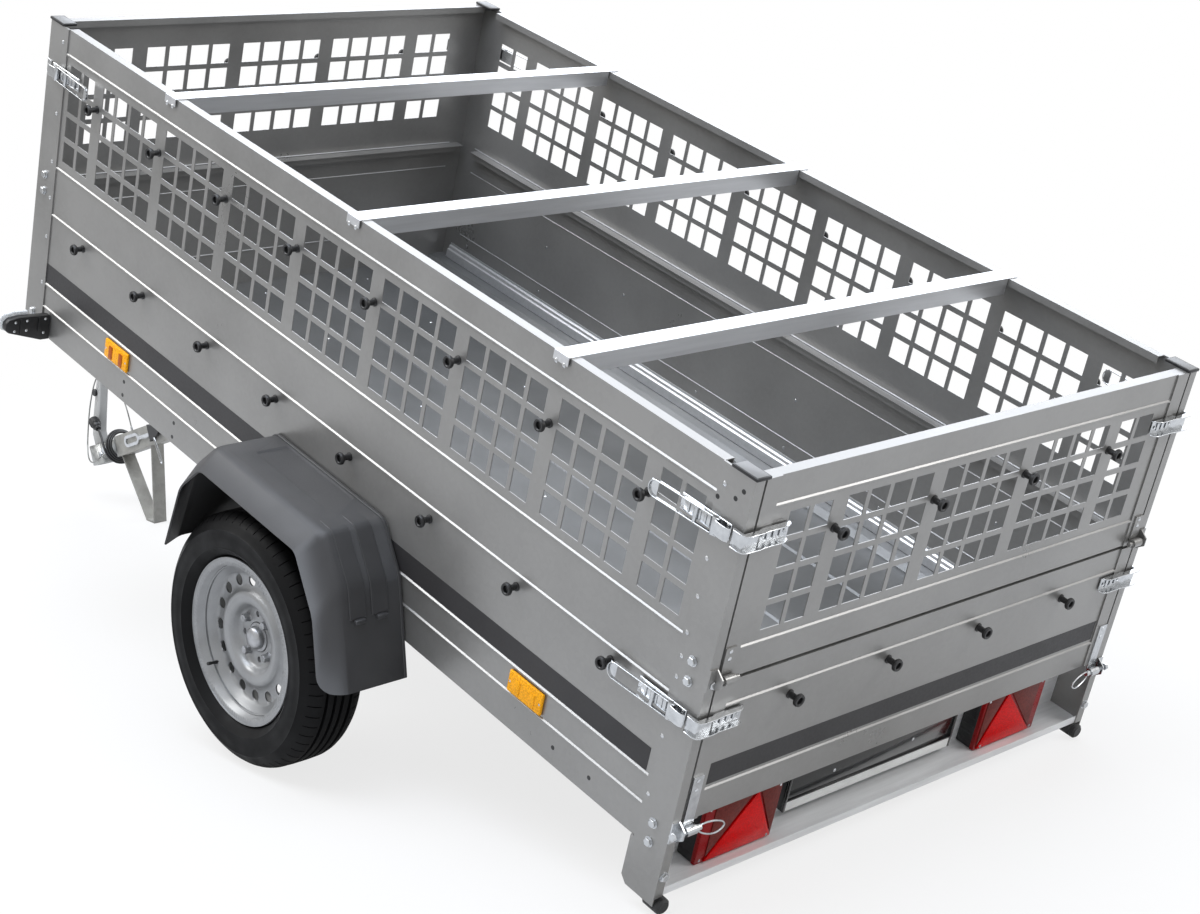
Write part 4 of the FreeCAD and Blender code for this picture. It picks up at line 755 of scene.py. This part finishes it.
# Along the side, and height over its lower edge.
POST_RIVETS = [
    (70, 100), (70, 225), (70, 350), (70, 392), (70, 440), (66, 515), (66, 590), (66, 735),
    (2306, 40), (2306, 130), (2306, 250), (2306, 350), (2312, 440), (2312, 560), (2312, 735),
]
POST_BOLTS = [(42, 357), (42, 398), (42, 55), (42, 14), (2336, 357), (2336, 398), (2336, 40)]
POST_HOLES = [(22, 742), (36, 722)]
WALL_HOLES = [(75, 706), (325, 35), (220, 35), (1684, 50), (1684, 15), (1905, 15), (1905, 49)]
BRACKET_BOLTS = ((330, -50, LEFTWARDS), (612, -20, RIGHTWARDS))


class TRAILER_OT_rivets(Operator):
    """Sets the rivets and bolts of the posts, panels, floor and cross bars"""

    bl_idname = "trailer.rivets"
    bl_label = "Rivets and bolts"

    def execute(self, context):
        sizes = context.scene.trailer_sizes
        head, corner = sizes.rivet_head / MM, sizes.bolt_head / MM
        domes = sides(*[at(x, POST_FACE, z, LEFTWARDS) for x, z in POST_RIVETS])
        domes += sides(*[at(x, POST_FACE + 2, 755, LEFTWARDS) for x in (492, 514, 1139, 1161, 1830, 1852)])
        domes += sides(*[at(POST_FRONT, 638, z, FORWARDS) for z in (60, 200, 340, 440, 600, 740)])
        floor_rows = (160, 640, 1120, 1600, 2000, 2292)
        domes += [at(x, y, 24) for x in floor_rows for y in (-560, -330, 0, 330, 560)]
        inner = [at(x, 1 - WALL_FACE, z, LEFTWARDS) for x in range(350, 2300, 320) for z in (226, 96)]
        domes += sides(*inner)
        piece("box_rivets", copies(rivet(head), *domes), "zinc")
        heads = sides(*[at(x, POST_FACE, z, LEFTWARDS) for x, z in POST_BOLTS])
        heads += sides(at(0, 638, 372, REARWARDS), at(0, 638, -40, REARWARDS))
        heads += sides(*[at(x, y, z, turn) for x in (1192, 1272) for y, z, turn in BRACKET_BOLTS])
        piece("box_bolts", copies(bolt(corner), *heads), "zinc")
        places = sides(*[at(x, POST_FACE, z, LEFTWARDS) for x, z in POST_HOLES])
        places += sides(*[at(x, POST_FACE if x < 100 else WALL_FACE, z, LEFTWARDS) for x, z in WALL_HOLES])
        # thin black discs on the outer faces stand for the open holes: painted shade, the dark seen through each
        # hole
        opening_shade_disc = turned([(0, 0.4), (4.4, 0.4), (4.8, 0), (0, 0)], 14)
        piece("open_holes", copies(opening_shade_disc, *places), "black_plastic")
        for body, low, high in (("tailgate", 92, 350), ("rear_mesh", 386, 757)):
            places = sides(*[at(GATE_FACE, 604, z, REARWARDS) for z in (low, (low + high) / 2, high)])
            piece(body + "_rivets", copies(rivet(head), *places), "zinc", body)
        return {"FINISHED"}


# heights of thin bright rods on the inner side and front walls: painted highlight lines
HIGHLIGHT_ROD_HEIGHTS = (118, 304, 366, 375)


class TRAILER_OT_inner_edges(Operator):
    """Lays the folded bright edge inside the box where the walls meet the floor, and thin bright rods along the
    inner walls up to where they meet the mesh panels: painted highlight lines
    """

    bl_idname = "trailer.inner_edges"
    bl_label = "Inner edges"

    def execute(self, context):
        fold = [(645, 80), (645, 73), (640.5, 71), (639, 63), (635, 61), (633.5, 39)]
        edges = copies(ribbon(fold, 2240, 1.2, 1.2, 2), *sides(at(96, 0, 0, SEEN_FROM_FRONT)))
        along = [at(96, 645, z, FORWARDS) for z in HIGHLIGHT_ROD_HEIGHTS]
        across = [at(2366.5, -600, z, LEFTWARDS) for z in HIGHLIGHT_ROD_HEIGHTS]
        for length, places in ((2210, sides(*along)), (1200, across)):
            put(edges, turned([(1.5, 0), (1.5, length), (0, length), (0, 0)], 8), *places)
        piece("inner_edge_folds", edges, "bright")
        return {"FINISHED"}


class TRAILER_OT_reflectors(Operator):
    """Makes the amber side reflectors; the front ones show their prisms as two dark bars"""

    bl_idname = "trailer.reflectors"
    bl_label = "Side reflectors"

    def execute(self, context):
        bodies, bars, screws = bmesh.new(), bmesh.new(), bmesh.new()
        for station, prisms in ((420, bodies), (1942, bars)):
            low, high = (station - 50, WALL_FACE, 78.5), (station + 50, 654, 124.5)
            put(bodies, block(low, high, 2.5, 3), *BOTH_SIDES)
            for middle in (station - 22, station + 22):
                put(prisms, block((middle - 8, 653, 82), (middle + 8, 655.4, 114), 1.5), *BOTH_SIDES)
            for x in (station - 44, station + 44):
                put(screws, rivet(2.6), *sides(at(x, 654, 101, LEFTWARDS)))
        piece("side_reflector_lenses", bodies, "amber_reflector", stands_for="side_reflectors")
        piece("side_reflector_bars", bars, "amber_bar")
        piece("side_reflector_screws", screws, "zinc")
        return {"FINISHED"}


class TRAILER_OT_caps(Operator):
    """Makes the moulded caps of the corner posts and the rubber buffers at the rear"""

    bl_idname = "trailer.caps"
    bl_label = "Post caps and buffers"

    def execute(self, context):
        skirts, tops = bmesh.new(), bmesh.new()
        for start in (-3, 2313):
            put(skirts, block((start, 617, 772), (start + 62, 653, 778.2), 1.6), *BOTH_SIDES)
            put(tops, block((start + 3, 620, 775), (start + 59, 650, 779), 1.4), *BOTH_SIDES)
        piece("cap_skirts", skirts, "black_plastic", stands_for="post_caps")
        # the tops are grey over the black skirts: painted sheen on the up-facing tops
        piece("cap_tops", tops, "cap_grey")
        buffer = [(0, 0), (15, 0), (16.7, 2), (16.7, 27), (15.4, 29), (16.7, 31), (16.2, 38), (12, 42)]
        rubbers = copies(turned(buffer + [(0, 42)], 28), *sides(at(30, 630.2, -104.8, REARWARDS)))
        piece("buffer_rubbers", rubbers, "black_plastic", stands_for="rear_buffers")
        return {"FINISHED"}


def latch():
    """An over-centre latch. x runs from the corner along the wall, y up and z outwards."""
    shape = block((28, -16, 0), (150, 16, 2.5), 1.0, 1)
    put(shape, block((72, -12, 2.5), (138, 12, 7.5), 2.4))
    for start in (80, 94, 108, 122):
        put(shape, block((start, -9, 7), (start + 6, 9, 9.5), 1.2))
    lever = ribbon([(50, -17), (216, -17), (216, 17), (50, 17)], 6.5, 2.0, 16.4, 8, 0.5)
    put(lever, block((196, -14, 1), (213, 14, 2.6), 0.8, 1))
    put(shape, lever, at(0, 0, 3, spun(-3, "Y")))
    for station, radius, up in ((60, 5.5, 9), (104, 3.6, 11)):
        waist = radius + 0.6
        roll = [(0, -17), (radius, -17), (waist, -15.5), (waist, 15.5), (radius, 17), (0, 17)]
        put(shape, turned(roll, 16), at(station, 0, up, LEFTWARDS))
    hook = ribbon([(64, 13), (44, 16), (27, 16), (22, 11)], 26, 2.2, 5, 4, 0.5)
    put(shape, hook, at(0, 13, 0, RIGHTWARDS))
    put(shape, rivet(3.6), at(36, 11, 2.5), at(36, -11, 2.5), at(144, 10, 2.5), at(144, -10, 2.5))
    return shape


def keeper(at_front):
    """The keeper of a latch: a channel with flared flanges that turns the corner. y is at the left side."""
    if at_front:
        path = [(2373.5, 540), (2373.5, 651.5), (2352, 651.5)]
        flange = [(2373, 541), (2375, 549), (2375, 652), (2352, 653), (2352, 650), (2372, 650)]
    else:
        path = [(-1.5, 540), (-1.5, 610), (-6.5, 618), (-6.5, 656.5), (20, 656.5)]
        flange = [(-2, 541), (-10, 545), (-15, 556), (-15, 604), (-17, 618), (-17, 650)]
        flange += [(-14, 659), (-5, 663), (14, 663), (20, 659), (18, 655), (-5, 655), (-5, 618), (-1, 609)]
    shape = copies(ribbon(path, 30, 2.4, 4, 4, 0.4), at(0, 0, -15))
    for low in (-17, 14.8):
        put(shape, slab(flange, 2.2, 0.6, 1), at(0, 0, low))
    if not at_front:
        for station in (560, 576, 592):
            put(shape, block((-4.6, station - 3, -9), (-2, station + 3, 9), 1.0, 1))
        put(shape, rivet(3.6), at(-2.8, 551, 0, REARWARDS), at(-2.8, 603, 0, REARWARDS))
    return shape


class TRAILER_OT_latches(Operator):
    """Makes the over-centre latches at the corners and their keepers"""

    bl_idname = "trailer.latches"
    bl_label = "Latches and keepers"

    def execute(self, context):
        low, high = LATCH_ROWS
        turned_round = Matrix.Scale(-1, 4, (1, 0, 0)) @ LEFTWARDS
        places = [at(0, POST_FACE, low, LEFTWARDS), at(0, POST_FACE, high, LEFTWARDS)]
        latches = copies(latch(), *sides(*places, at(POST_FRONT, POST_FACE, high, turned_round)))
        piece("latch_levers", latches, "zinc", stands_for="over_centre_latches")
        for body, node, height in (
            ("tailgate", "tailgate_keepers", low),
            ("rear_mesh", "mesh_rear_keepers", high),
            ("box", "mesh_front_keepers", high),
        ):
            channels = copies(keeper(body == "box"), *sides(at(0, 0, height)))
            piece(node + "_channel", channels, "zinc", body, stands_for=node)
        return {"FINISHED"}


class TRAILER_OT_hinge_pins(Operator):
    """Adds the linch pins with their spring rings, and the rivets of the hinge straps"""

    bl_idname = "trailer.hinge_pins"
    bl_label = "Hinge pins and rings"

    def execute(self, context):
        loop = [(-11, 592, 2), (-14, 578, 9), (-17, 552, 8), (-19, 530, -1)]
        loop += [(-19, 528, -14), (-18, 548, -23), (-15, 576, -16), (-11, 592, -5)]
        rings = copies(wire(loop, 3.6, True), *sides(at(0, 0, PIN_HEIGHT)))
        stem = turned([(0, 0), (5.4, 0), (6.2, 1), (6.2, 9), (5.4, 10), (0, 10)], 16)
        put(rings, stem, *sides(at(-11, 584, PIN_HEIGHT, LEFTWARDS)))
        nut = turned([(0, 0), (8, 0), (8, 5), (7, 6), (0, 6)], 6)
        put(rings, nut, *sides(at(-11, 656, PIN_HEIGHT, RIGHTWARDS)))
        piece("linch_pins", rings, "zinc")
        for body, heights in (("tailgate", (142, 162)), ("rear_mesh", (418, 433))):
            places = sides(*[at(-3, 610, height, REARWARDS) for height in heights])
            piece(body + "_strap_rivets", copies(rivet(4.6), *places), "zinc", body)
        return {"FINISHED"}


LAMP_CORNER = LAMP_OUTER, LAMP_LOW = 515, -86  # the rear lamp's outer lower corner
LAMP_PARTS = (  # piece, finish, outline from that corner (across and up), front face, depth, rounding
    ("rear_lamp_rims", "red_rim", [(0, 0), (205, 0), (205, 132), (0, 132)], 47, 11, 2.5),
    ("rear_lamp_triangles", "red_lens", [(20, 5), (199, 5), (134, 127)], 36, 4, 1.0),
    ("rear_lamp_facets", "red_facet", [(24, 14), (124, 128), (24, 128)], 36, 2.4, 0.8),
    ("rear_lamp_inner_facets", "red_facet", [(200, 12), (200, 128), (141, 128)], 36, 2.4, 0.8),
)


class TRAILER_OT_rear_lamps(Operator):
    """Makes the rear lamps: black housing, reflex triangle, side facets, rim and screws"""

    bl_idname = "trailer.rear_lamps"
    bl_label = "Rear lamps"

    def execute(self, context):
        housing = block((45, 310.5, LAMP_LOW), (85, LAMP_OUTER, 46), 4)
        for height in range(-72, 40, 18):
            put(housing, block((50, 309.9, height), (80, 313, height + 6), 1, 1), Matrix(), at(0, 202.3, 0))
        cases = copies(housing, *BOTH_SIDES)
        piece("rear_lamp_cases", cases, "black_plastic", stands_for="rear_lamp_housings")
        for name, finish, outline, front, depth, radius in LAMP_PARTS:
            shape = copies(slab(outline, depth, radius), *sides(at(front, *LAMP_CORNER, SEEN_FROM_REAR)))
            stands_for = "rear_lamp_lenses" if finish == "red_rim" else None
            piece(name, shape, finish, stands_for=stands_for)
        screws = [(36, 12, 8), (32, 188, 10), (36, 12, 122), (33.6, 195, 122)]
        places = sides(*[at(x, LAMP_OUTER - across, LAMP_LOW + up, REARWARDS) for x, across, up in screws])
        piece("rear_lamp_screws", copies(rivet(3.2), *places), "zinc")
        return {"FINISHED"}


class TRAILER_OT_plate_holder(Operator):
    """Makes the glossy number plate holder with its blank pale strip"""

    bl_idname = "trailer.plate_holder"
    bl_label = "Number plate holder"

    def execute(self, context):
        holder = block((63, -255, -71), (85, 255, 25), 3)
        put(holder, block((60, -255, 18), (66, 255, 25), 2))
        put(holder, block((60, -255, -48), (66, 255, -44), 1.5))
        put(holder, block((60, 248, -71), (66, 255, 25), 2), *BOTH_SIDES)
        piece("plate_frame", holder, "gloss_black", stands_for="number_plate_holder")
        piece("plate_strip", block((61, -248, -70), (64, 248, -48), 1), "pale_strip")
        piece("plate_screws", copies(rivet(4), *sides(at(63, 120, -14, REARWARDS))), "zinc")
        return {"FINISHED"}


LAMP_ARM = [
    (649, 2), (672, 2), (740, 25), (758, 31), (767, 40),
    (767, 56), (758, 66), (735, 70), (660, 67), (649, 64),
]
LAMP_LENS = [(700, 28), (745, 24), (768, 34), (776, 46), (776, 64), (766, 75), (735, 79), (700, 76)]
LAMP_STATION = 2250


class TRAILER_OT_front_lamps(Operator):
    """Makes the black front lamp arms with their screws and clear lenses"""

    bl_idname = "trailer.front_lamps"
    bl_label = "Front lamps"

    def execute(self, context):
        arms = copies(slab(LAMP_ARM, 18, 3), *sides(at(LAMP_STATION, 0, 0, SEEN_FROM_FRONT)))
        for y in (678, 726):
            put(arms, block((LAMP_STATION - 2.6, y, 28), (LAMP_STATION + 1, y + 4, 66), 1.2), *BOTH_SIDES)
        piece("front_lamp_arms", arms, "black_plastic", stands_for="front_lamps")
        lenses = copies(slab(LAMP_LENS, 15, 4, 3), *sides(at(LAMP_STATION + 18, 0, 0, SEEN_FROM_FRONT)))
        piece("front_lamp_covers", lenses, "clear_lens", stands_for="front_lamp_lenses")
        spots = [(741, 58), (711, 59), (663, 58), (743, 35), (712, 34), (666, 22)]
        places = sides(*[at(LAMP_STATION, y, z, REARWARDS) for y, z in spots])
        piece("front_lamp_screws", copies(rivet(3.6), *places), "zinc")
        return {"FINISHED"}


# The fender's sections where it meets the wall and along its lip, from its front foot to its rear foot.
# x forwards and z up from the wheel's middle.
ARCH = [(281, 104), (245, 300), (185, 369), (-202, 369), (-277, 280), (-351, 80)]
ARCH_LIP = [(256.6, 104), (228.3, 258.3), (166.8, 329), (-183.4, 329), (-272.3, 223.5), (-325, 80)]
CROWN_HEIGHT = 369
CROWN_PANEL = ((132, 0), (-112, 0), (0, 9), (0, 92))  # the lines along its four edges, in x or y


def fender_skin():
    """The fender's outer skin, with y outwards from the wall."""
    shape = bmesh.new()
    wall = [shape.verts.new((x, 0, z)) for x, z in ARCH]
    edges = [shape.edges.new(pair) for pair in zip(wall, wall[1:])]
    for out in (150, 50):
        made = bmesh.ops.extrude_edge_only(shape, edges=edges)["geom"]
        row = only(made, BMVert)
        bmesh.ops.translate(shape, vec=(0, out, 0), verts=row)
        edges = [edge for edge in shape.edges if all(vert in row for vert in edge.verts)]
    for vert, (x, z) in zip(sorted(row, key=lambda vert: -vert.co.x), ARCH_LIP):
        vert.co = (x, 200, z)
    round_off(shape, [edge for edge in shape.edges if len(edge.link_faces) == 2], 12, 3)
    feet = [vert for vert in shape.verts if vert.co.y > 199 and vert.co.z < 81]
    round_off(shape, feet, 34, 5, "VERTICES")
    crown = max(shape.faces, key=lambda face: face.calc_area() * (face.calc_center_median().z > 360))
    for x, y in CROWN_PANEL:
        area = [crown, *crown.edges, *crown.verts]
        across = (1, 0, 0) if x else (0, 1, 0)
        cut = bmesh.ops.bisect_plane(shape, geom=area, dist=0.001, plane_co=(x, y, 0), plane_no=across)
        crown = max(only(cut["geom"], BMFace), key=lambda face: face.calc_area())
    bmesh.ops.recalc_face_normals(shape, faces=shape.faces)
    round_off(shape, crown.verts[:], 15, 4, "VERTICES")
    middle = Vector((10, 50, CROWN_HEIGHT))
    crown = min(shape.faces, key=lambda face: (face.calc_center_median() - middle).length)
    inwards = -3.0 if crown.normal.z > 0 else 3.0
    bmesh.ops.inset_individual(shape, faces=[crown], thickness=4, depth=inwards)
    return shape


class TRAILER_OT_fenders(Operator):
    """Moulds the black fenders with their crown panel, rear ribs and edging"""

    bl_idname = "trailer.fenders"
    bl_label = "Fenders"

    def execute(self, context):
        for (name, _), side in zip(WHEELS, BOTH_SIDES):
            place = BOX @ side @ at(AXLE_IN_BOX.x, POST_FACE, AXLE_IN_BOX.z)
            skin = piece(
                "fender_skin_" + name, fender_skin(), "fender_plastic", "box", place,
                "fender_" + name, 40
            )
            if sum(face.normal.z * face.area for face in skin.data.polygons) < 0:
                skin.data.flip_normals()
            wall = skin.modifiers.new("wall", "SOLIDIFY")
            wall.thickness = 0.004
            soften = skin.modifiers.new("soften", "BEVEL")
            soften.width = 0.0012
            soften.segments = 2
            ribs = bmesh.new()
            path = [(-160, 370), (-203, 370.5), (-280, 281), (-303, 219)]
            for outer in (130, 76):
                put(ribs, ribbon(path, 40, 4.6, 12, 3, 1.3), at(0, outer, 0, RIGHTWARDS))
                put(ribs, block((-311, outer - 36, 209), (-297, outer - 9, 219), 3.5))
            rail = [(x * 1.006, z * 1.004 + 1) for x, z in ARCH]
            put(ribs, ribbon(rail, 7, 5, 12, 3, 1.2), at(0, 7, 0, RIGHTWARDS))
            piece("fender_ribs_" + name, ribs, "fender_plastic", "box", place)
        return {"FINISHED"}


TYRE_HALF = [  # radius, height over the tyre's middle
    (165.3, 53), (180, 54), (184, 60), (190, 68), (198, 74.5), (201, 77.2), (204, 76.6), (213, 78),
    (226, 78), (238, 76.4), (240.5, 77.2), (243, 74.6), (253, 69), (261, 62), (267.5, 53.5), (271, 46),
    (272.4, 40), (272.8, 34), (266.5, 33), (266.5, 27), (273, 26), (273.5, 13.5), (267, 12.5),
    (267, 6.5), (273.5, 5.5),
]
TYRE_STEPS = 128


class TRAILER_OT_tyres(Operator):
    """Turns the tyres with their tread grooves and cuts the shoulders"""

    bl_idname = "trailer.tyres"
    bl_label = "Tyres"

    def execute(self, context):
        depth = context.scene.trailer_sizes.sipe_depth / MM
        profile = TYRE_HALF + [(radius, -height) for radius, height in reversed(TYRE_HALF)]
        for name, side in WHEELS:
            shape = turned(profile, TYRE_STEPS, True)
            cuts = []
            for face in shape.faces:
                x, y, z = face.calc_center_median()
                step = int(math.atan2(y, x) / math.tau * TYRE_STEPS + TYRE_STEPS)
                if step % 2 == 0 and 256 < math.hypot(x, y) < 272.7 and 36 < abs(z) < 66:
                    cuts.append(face)
            for inset, sink in ((5.4, 0), (0.6, -depth)):
                bmesh.ops.inset_region(shape, faces=cuts, thickness=inset, depth=sink, use_even_offset=True)
            place = on_wheel(side)
            piece("tyre_tread_" + name, shape, "tyre", "wheel_" + name, place, stands_for="tyre_" + name)
        return {"FINISHED"}


HUB = [
    (0, 35), (13, 34.4), (19, 32.4), (23, 28.5), (24.6, 23), (24.8, 17), (31, 15.5), (32, 13), (32, 10.5),
    (62, 10.5), (62, 0.5), (38, 0.5), (38, -96), (15.2, -96), (15.2, 16.5), (0, 16.5),
]
VALVE = [(0, 0), (5.5, 0), (4.2, 6), (3.2, 20), (3.2, 27), (3.8, 27), (3.8, 35), (3, 36), (0, 36)]
FLANGE = [(175.5, 60), (177, 62.6), (179.6, 62.6), (180.4, 60), (179.4, 57), (175.6, 57)]
STEP = [(158, 40), (161.6, 40), (161.6, 44), (160, 45.5), (158, 44)]


class TRAILER_OT_wheels(Operator):
    """Dresses the steel wheels: bright flange, bolts, hub cap and valve"""

    bl_idname = "trailer.wheels"
    bl_label = "Wheels and hubs"

    def execute(self, context):
        for name, side in WHEELS:
            body, place = "wheel_" + name, on_wheel(side)
            smoothed(body, "silver_wheel", body)
            flange = put(turned(FLANGE, 96, True), turned(STEP, 96, True))
            piece("wheel_flange_" + name, flange, "silver_wheel", body, place)
            stud = turned([(0, 0), (12, 0), (8.6, 5), (8.6, 6), (0, 6)], 20)
            put(stud, turned([(0, 5), (9.4, 5), (9.4, 15), (8.2, 17), (0, 17)], 6))
            ring = [spun(turn, "Z") @ at(50, 0, 12) for turn in (45, 135, 225, 315)]
            piece("wheel_bolts_" + name, copies(stud, *ring), "hub_casting", body, place)
            piece("wheel_hub_" + name, turned(HUB, 48), "hub_casting", body, place, stands_for="hub_" + name)
            valve = copies(turned(VALVE, 14), spun(34, "Z") @ at(150, 0, 32, spun(-14, "Y")))
            piece("wheel_valve_" + name, valve, "black_sheath", body, place)
        return {"FINISHED"}


class TRAILER_OT_coupling(Operator):
    """Dresses the ball coupling, its handle, the lock lever and the guard"""

    bl_idname = "trailer.coupling"
    bl_label = "Coupling and handle"

    def execute(self, context):
        smoothed("coupling", "coupling_steel", "drawbar")
        smoothed("lock_lever", "zinc", "drawbar")
        smoothed("lock_guard", "black_plastic", "drawbar")
        handle = [(-24, 26), (18, 26), (18, 62), (-4, 104), (-84, 222), (-108, 214), (-40, 92), (-24, 62)]
        grip = copies(slab(handle, 28, 5, 3), at(1218, 14, 0, RIGHTWARDS))
        rib = block((-13, -14.6, -1.6), (13, 14.6, 1.6), 1.2, 1)
        put(grip, rib, *[at(1166 - step * 9, 0, 148 + step * 13.5, spun(33, "Y")) for step in range(5)])
        piece("coupling_grip", grip, "grey_handle", "drawbar", stands_for="coupling_handle")
        button = turned([(0, 0), (11, 0), (11, 5), (9, 7.5), (0, 7.5)], 24)
        piece("coupling_button", copies(button, at(1160, 14, 176, LEFTWARDS)), "black_plastic", "drawbar")
        fixings = copies(bolt(10), *sides(at(1166, 22, 4, LEFTWARDS), at(1196, 22, -6, LEFTWARDS)))
        put(fixings, bolt(9), *[at(1080, y, z, REARWARDS) for y, z in ((20, 20), (-20, 20), (0, -22))])
        clip = [(826, 50, -14), (820, 50, -40), (816, 50, -78), (812, 50, -92)]
        clip += [(806, 50, -88), (806, 50, -70), (812, 50, -38), (820, 50, -12)]
        put(fixings, wire(clip, 2.6, True))
        put(fixings, wire([(862, 36, 0), (880, 38, -6), (903, 37, -3), (930, 35, 1)], 3.0))
        piece("coupling_bolts", fixings, "zinc", "drawbar")
        piece("beam_end_plug", block((-36, -30.5, -30.5), (-31, 30.5, 30.5), 3), "black_plastic", "drawbar")
        return {"FINISHED"}


OPERATORS = [
    TRAILER_OT_finishes,
    TRAILER_OT_stage,
    TRAILER_OT_lead,
    TRAILER_OT_safety_cable,
    TRAILER_OT_frame,
    TRAILER_OT_stripes,
    TRAILER_OT_knobs,
    TRAILER_OT_rivets,
    TRAILER_OT_inner_edges,
    TRAILER_OT_reflectors,
    TRAILER_OT_caps,
    TRAILER_OT_latches,
    TRAILER_OT_hinge_pins,
    TRAILER_OT_rear_lamps,
    TRAILER_OT_plate_holder,
    TRAILER_OT_front_lamps,
    TRAILER_OT_fenders,
    TRAILER_OT_tyres,
    TRAILER_OT_wheels,
    TRAILER_OT_coupling,
]


class TRAILER_PT_panel(Panel):
    """Lists the steps that dress the trailer"""

    bl_idname = "TRAILER_PT_panel"
    bl_label = "Trailer"
    bl_space_type = "VIEW_3D"
    bl_region_type = "UI"
    bl_category = "Trailer"

    def draw(self, context):
        for step in OPERATORS:
            self.layout.operator(step.bl_idname)


def register():
    for name, group in SETTINGS.items():
        bpy.utils.register_class(group)
        setattr(bpy.types.Scene, name, PointerProperty(type=group))
    for step in OPERATORS + [TRAILER_PT_panel]:
        bpy.utils.register_class(step)


def unregister():
    for step in reversed(OPERATORS + [TRAILER_PT_panel]):
        bpy.utils.unregister_class(step)
    for name, group in SETTINGS.items():
        delattr(bpy.types.Scene, name)
        bpy.utils.unregister_class(group)


def main():
    register()
    for step in OPERATORS:
        family, name = step.bl_idname.split(".")
        getattr(getattr(bpy.ops, family), name)()


if __name__ == "__main__":
    main()
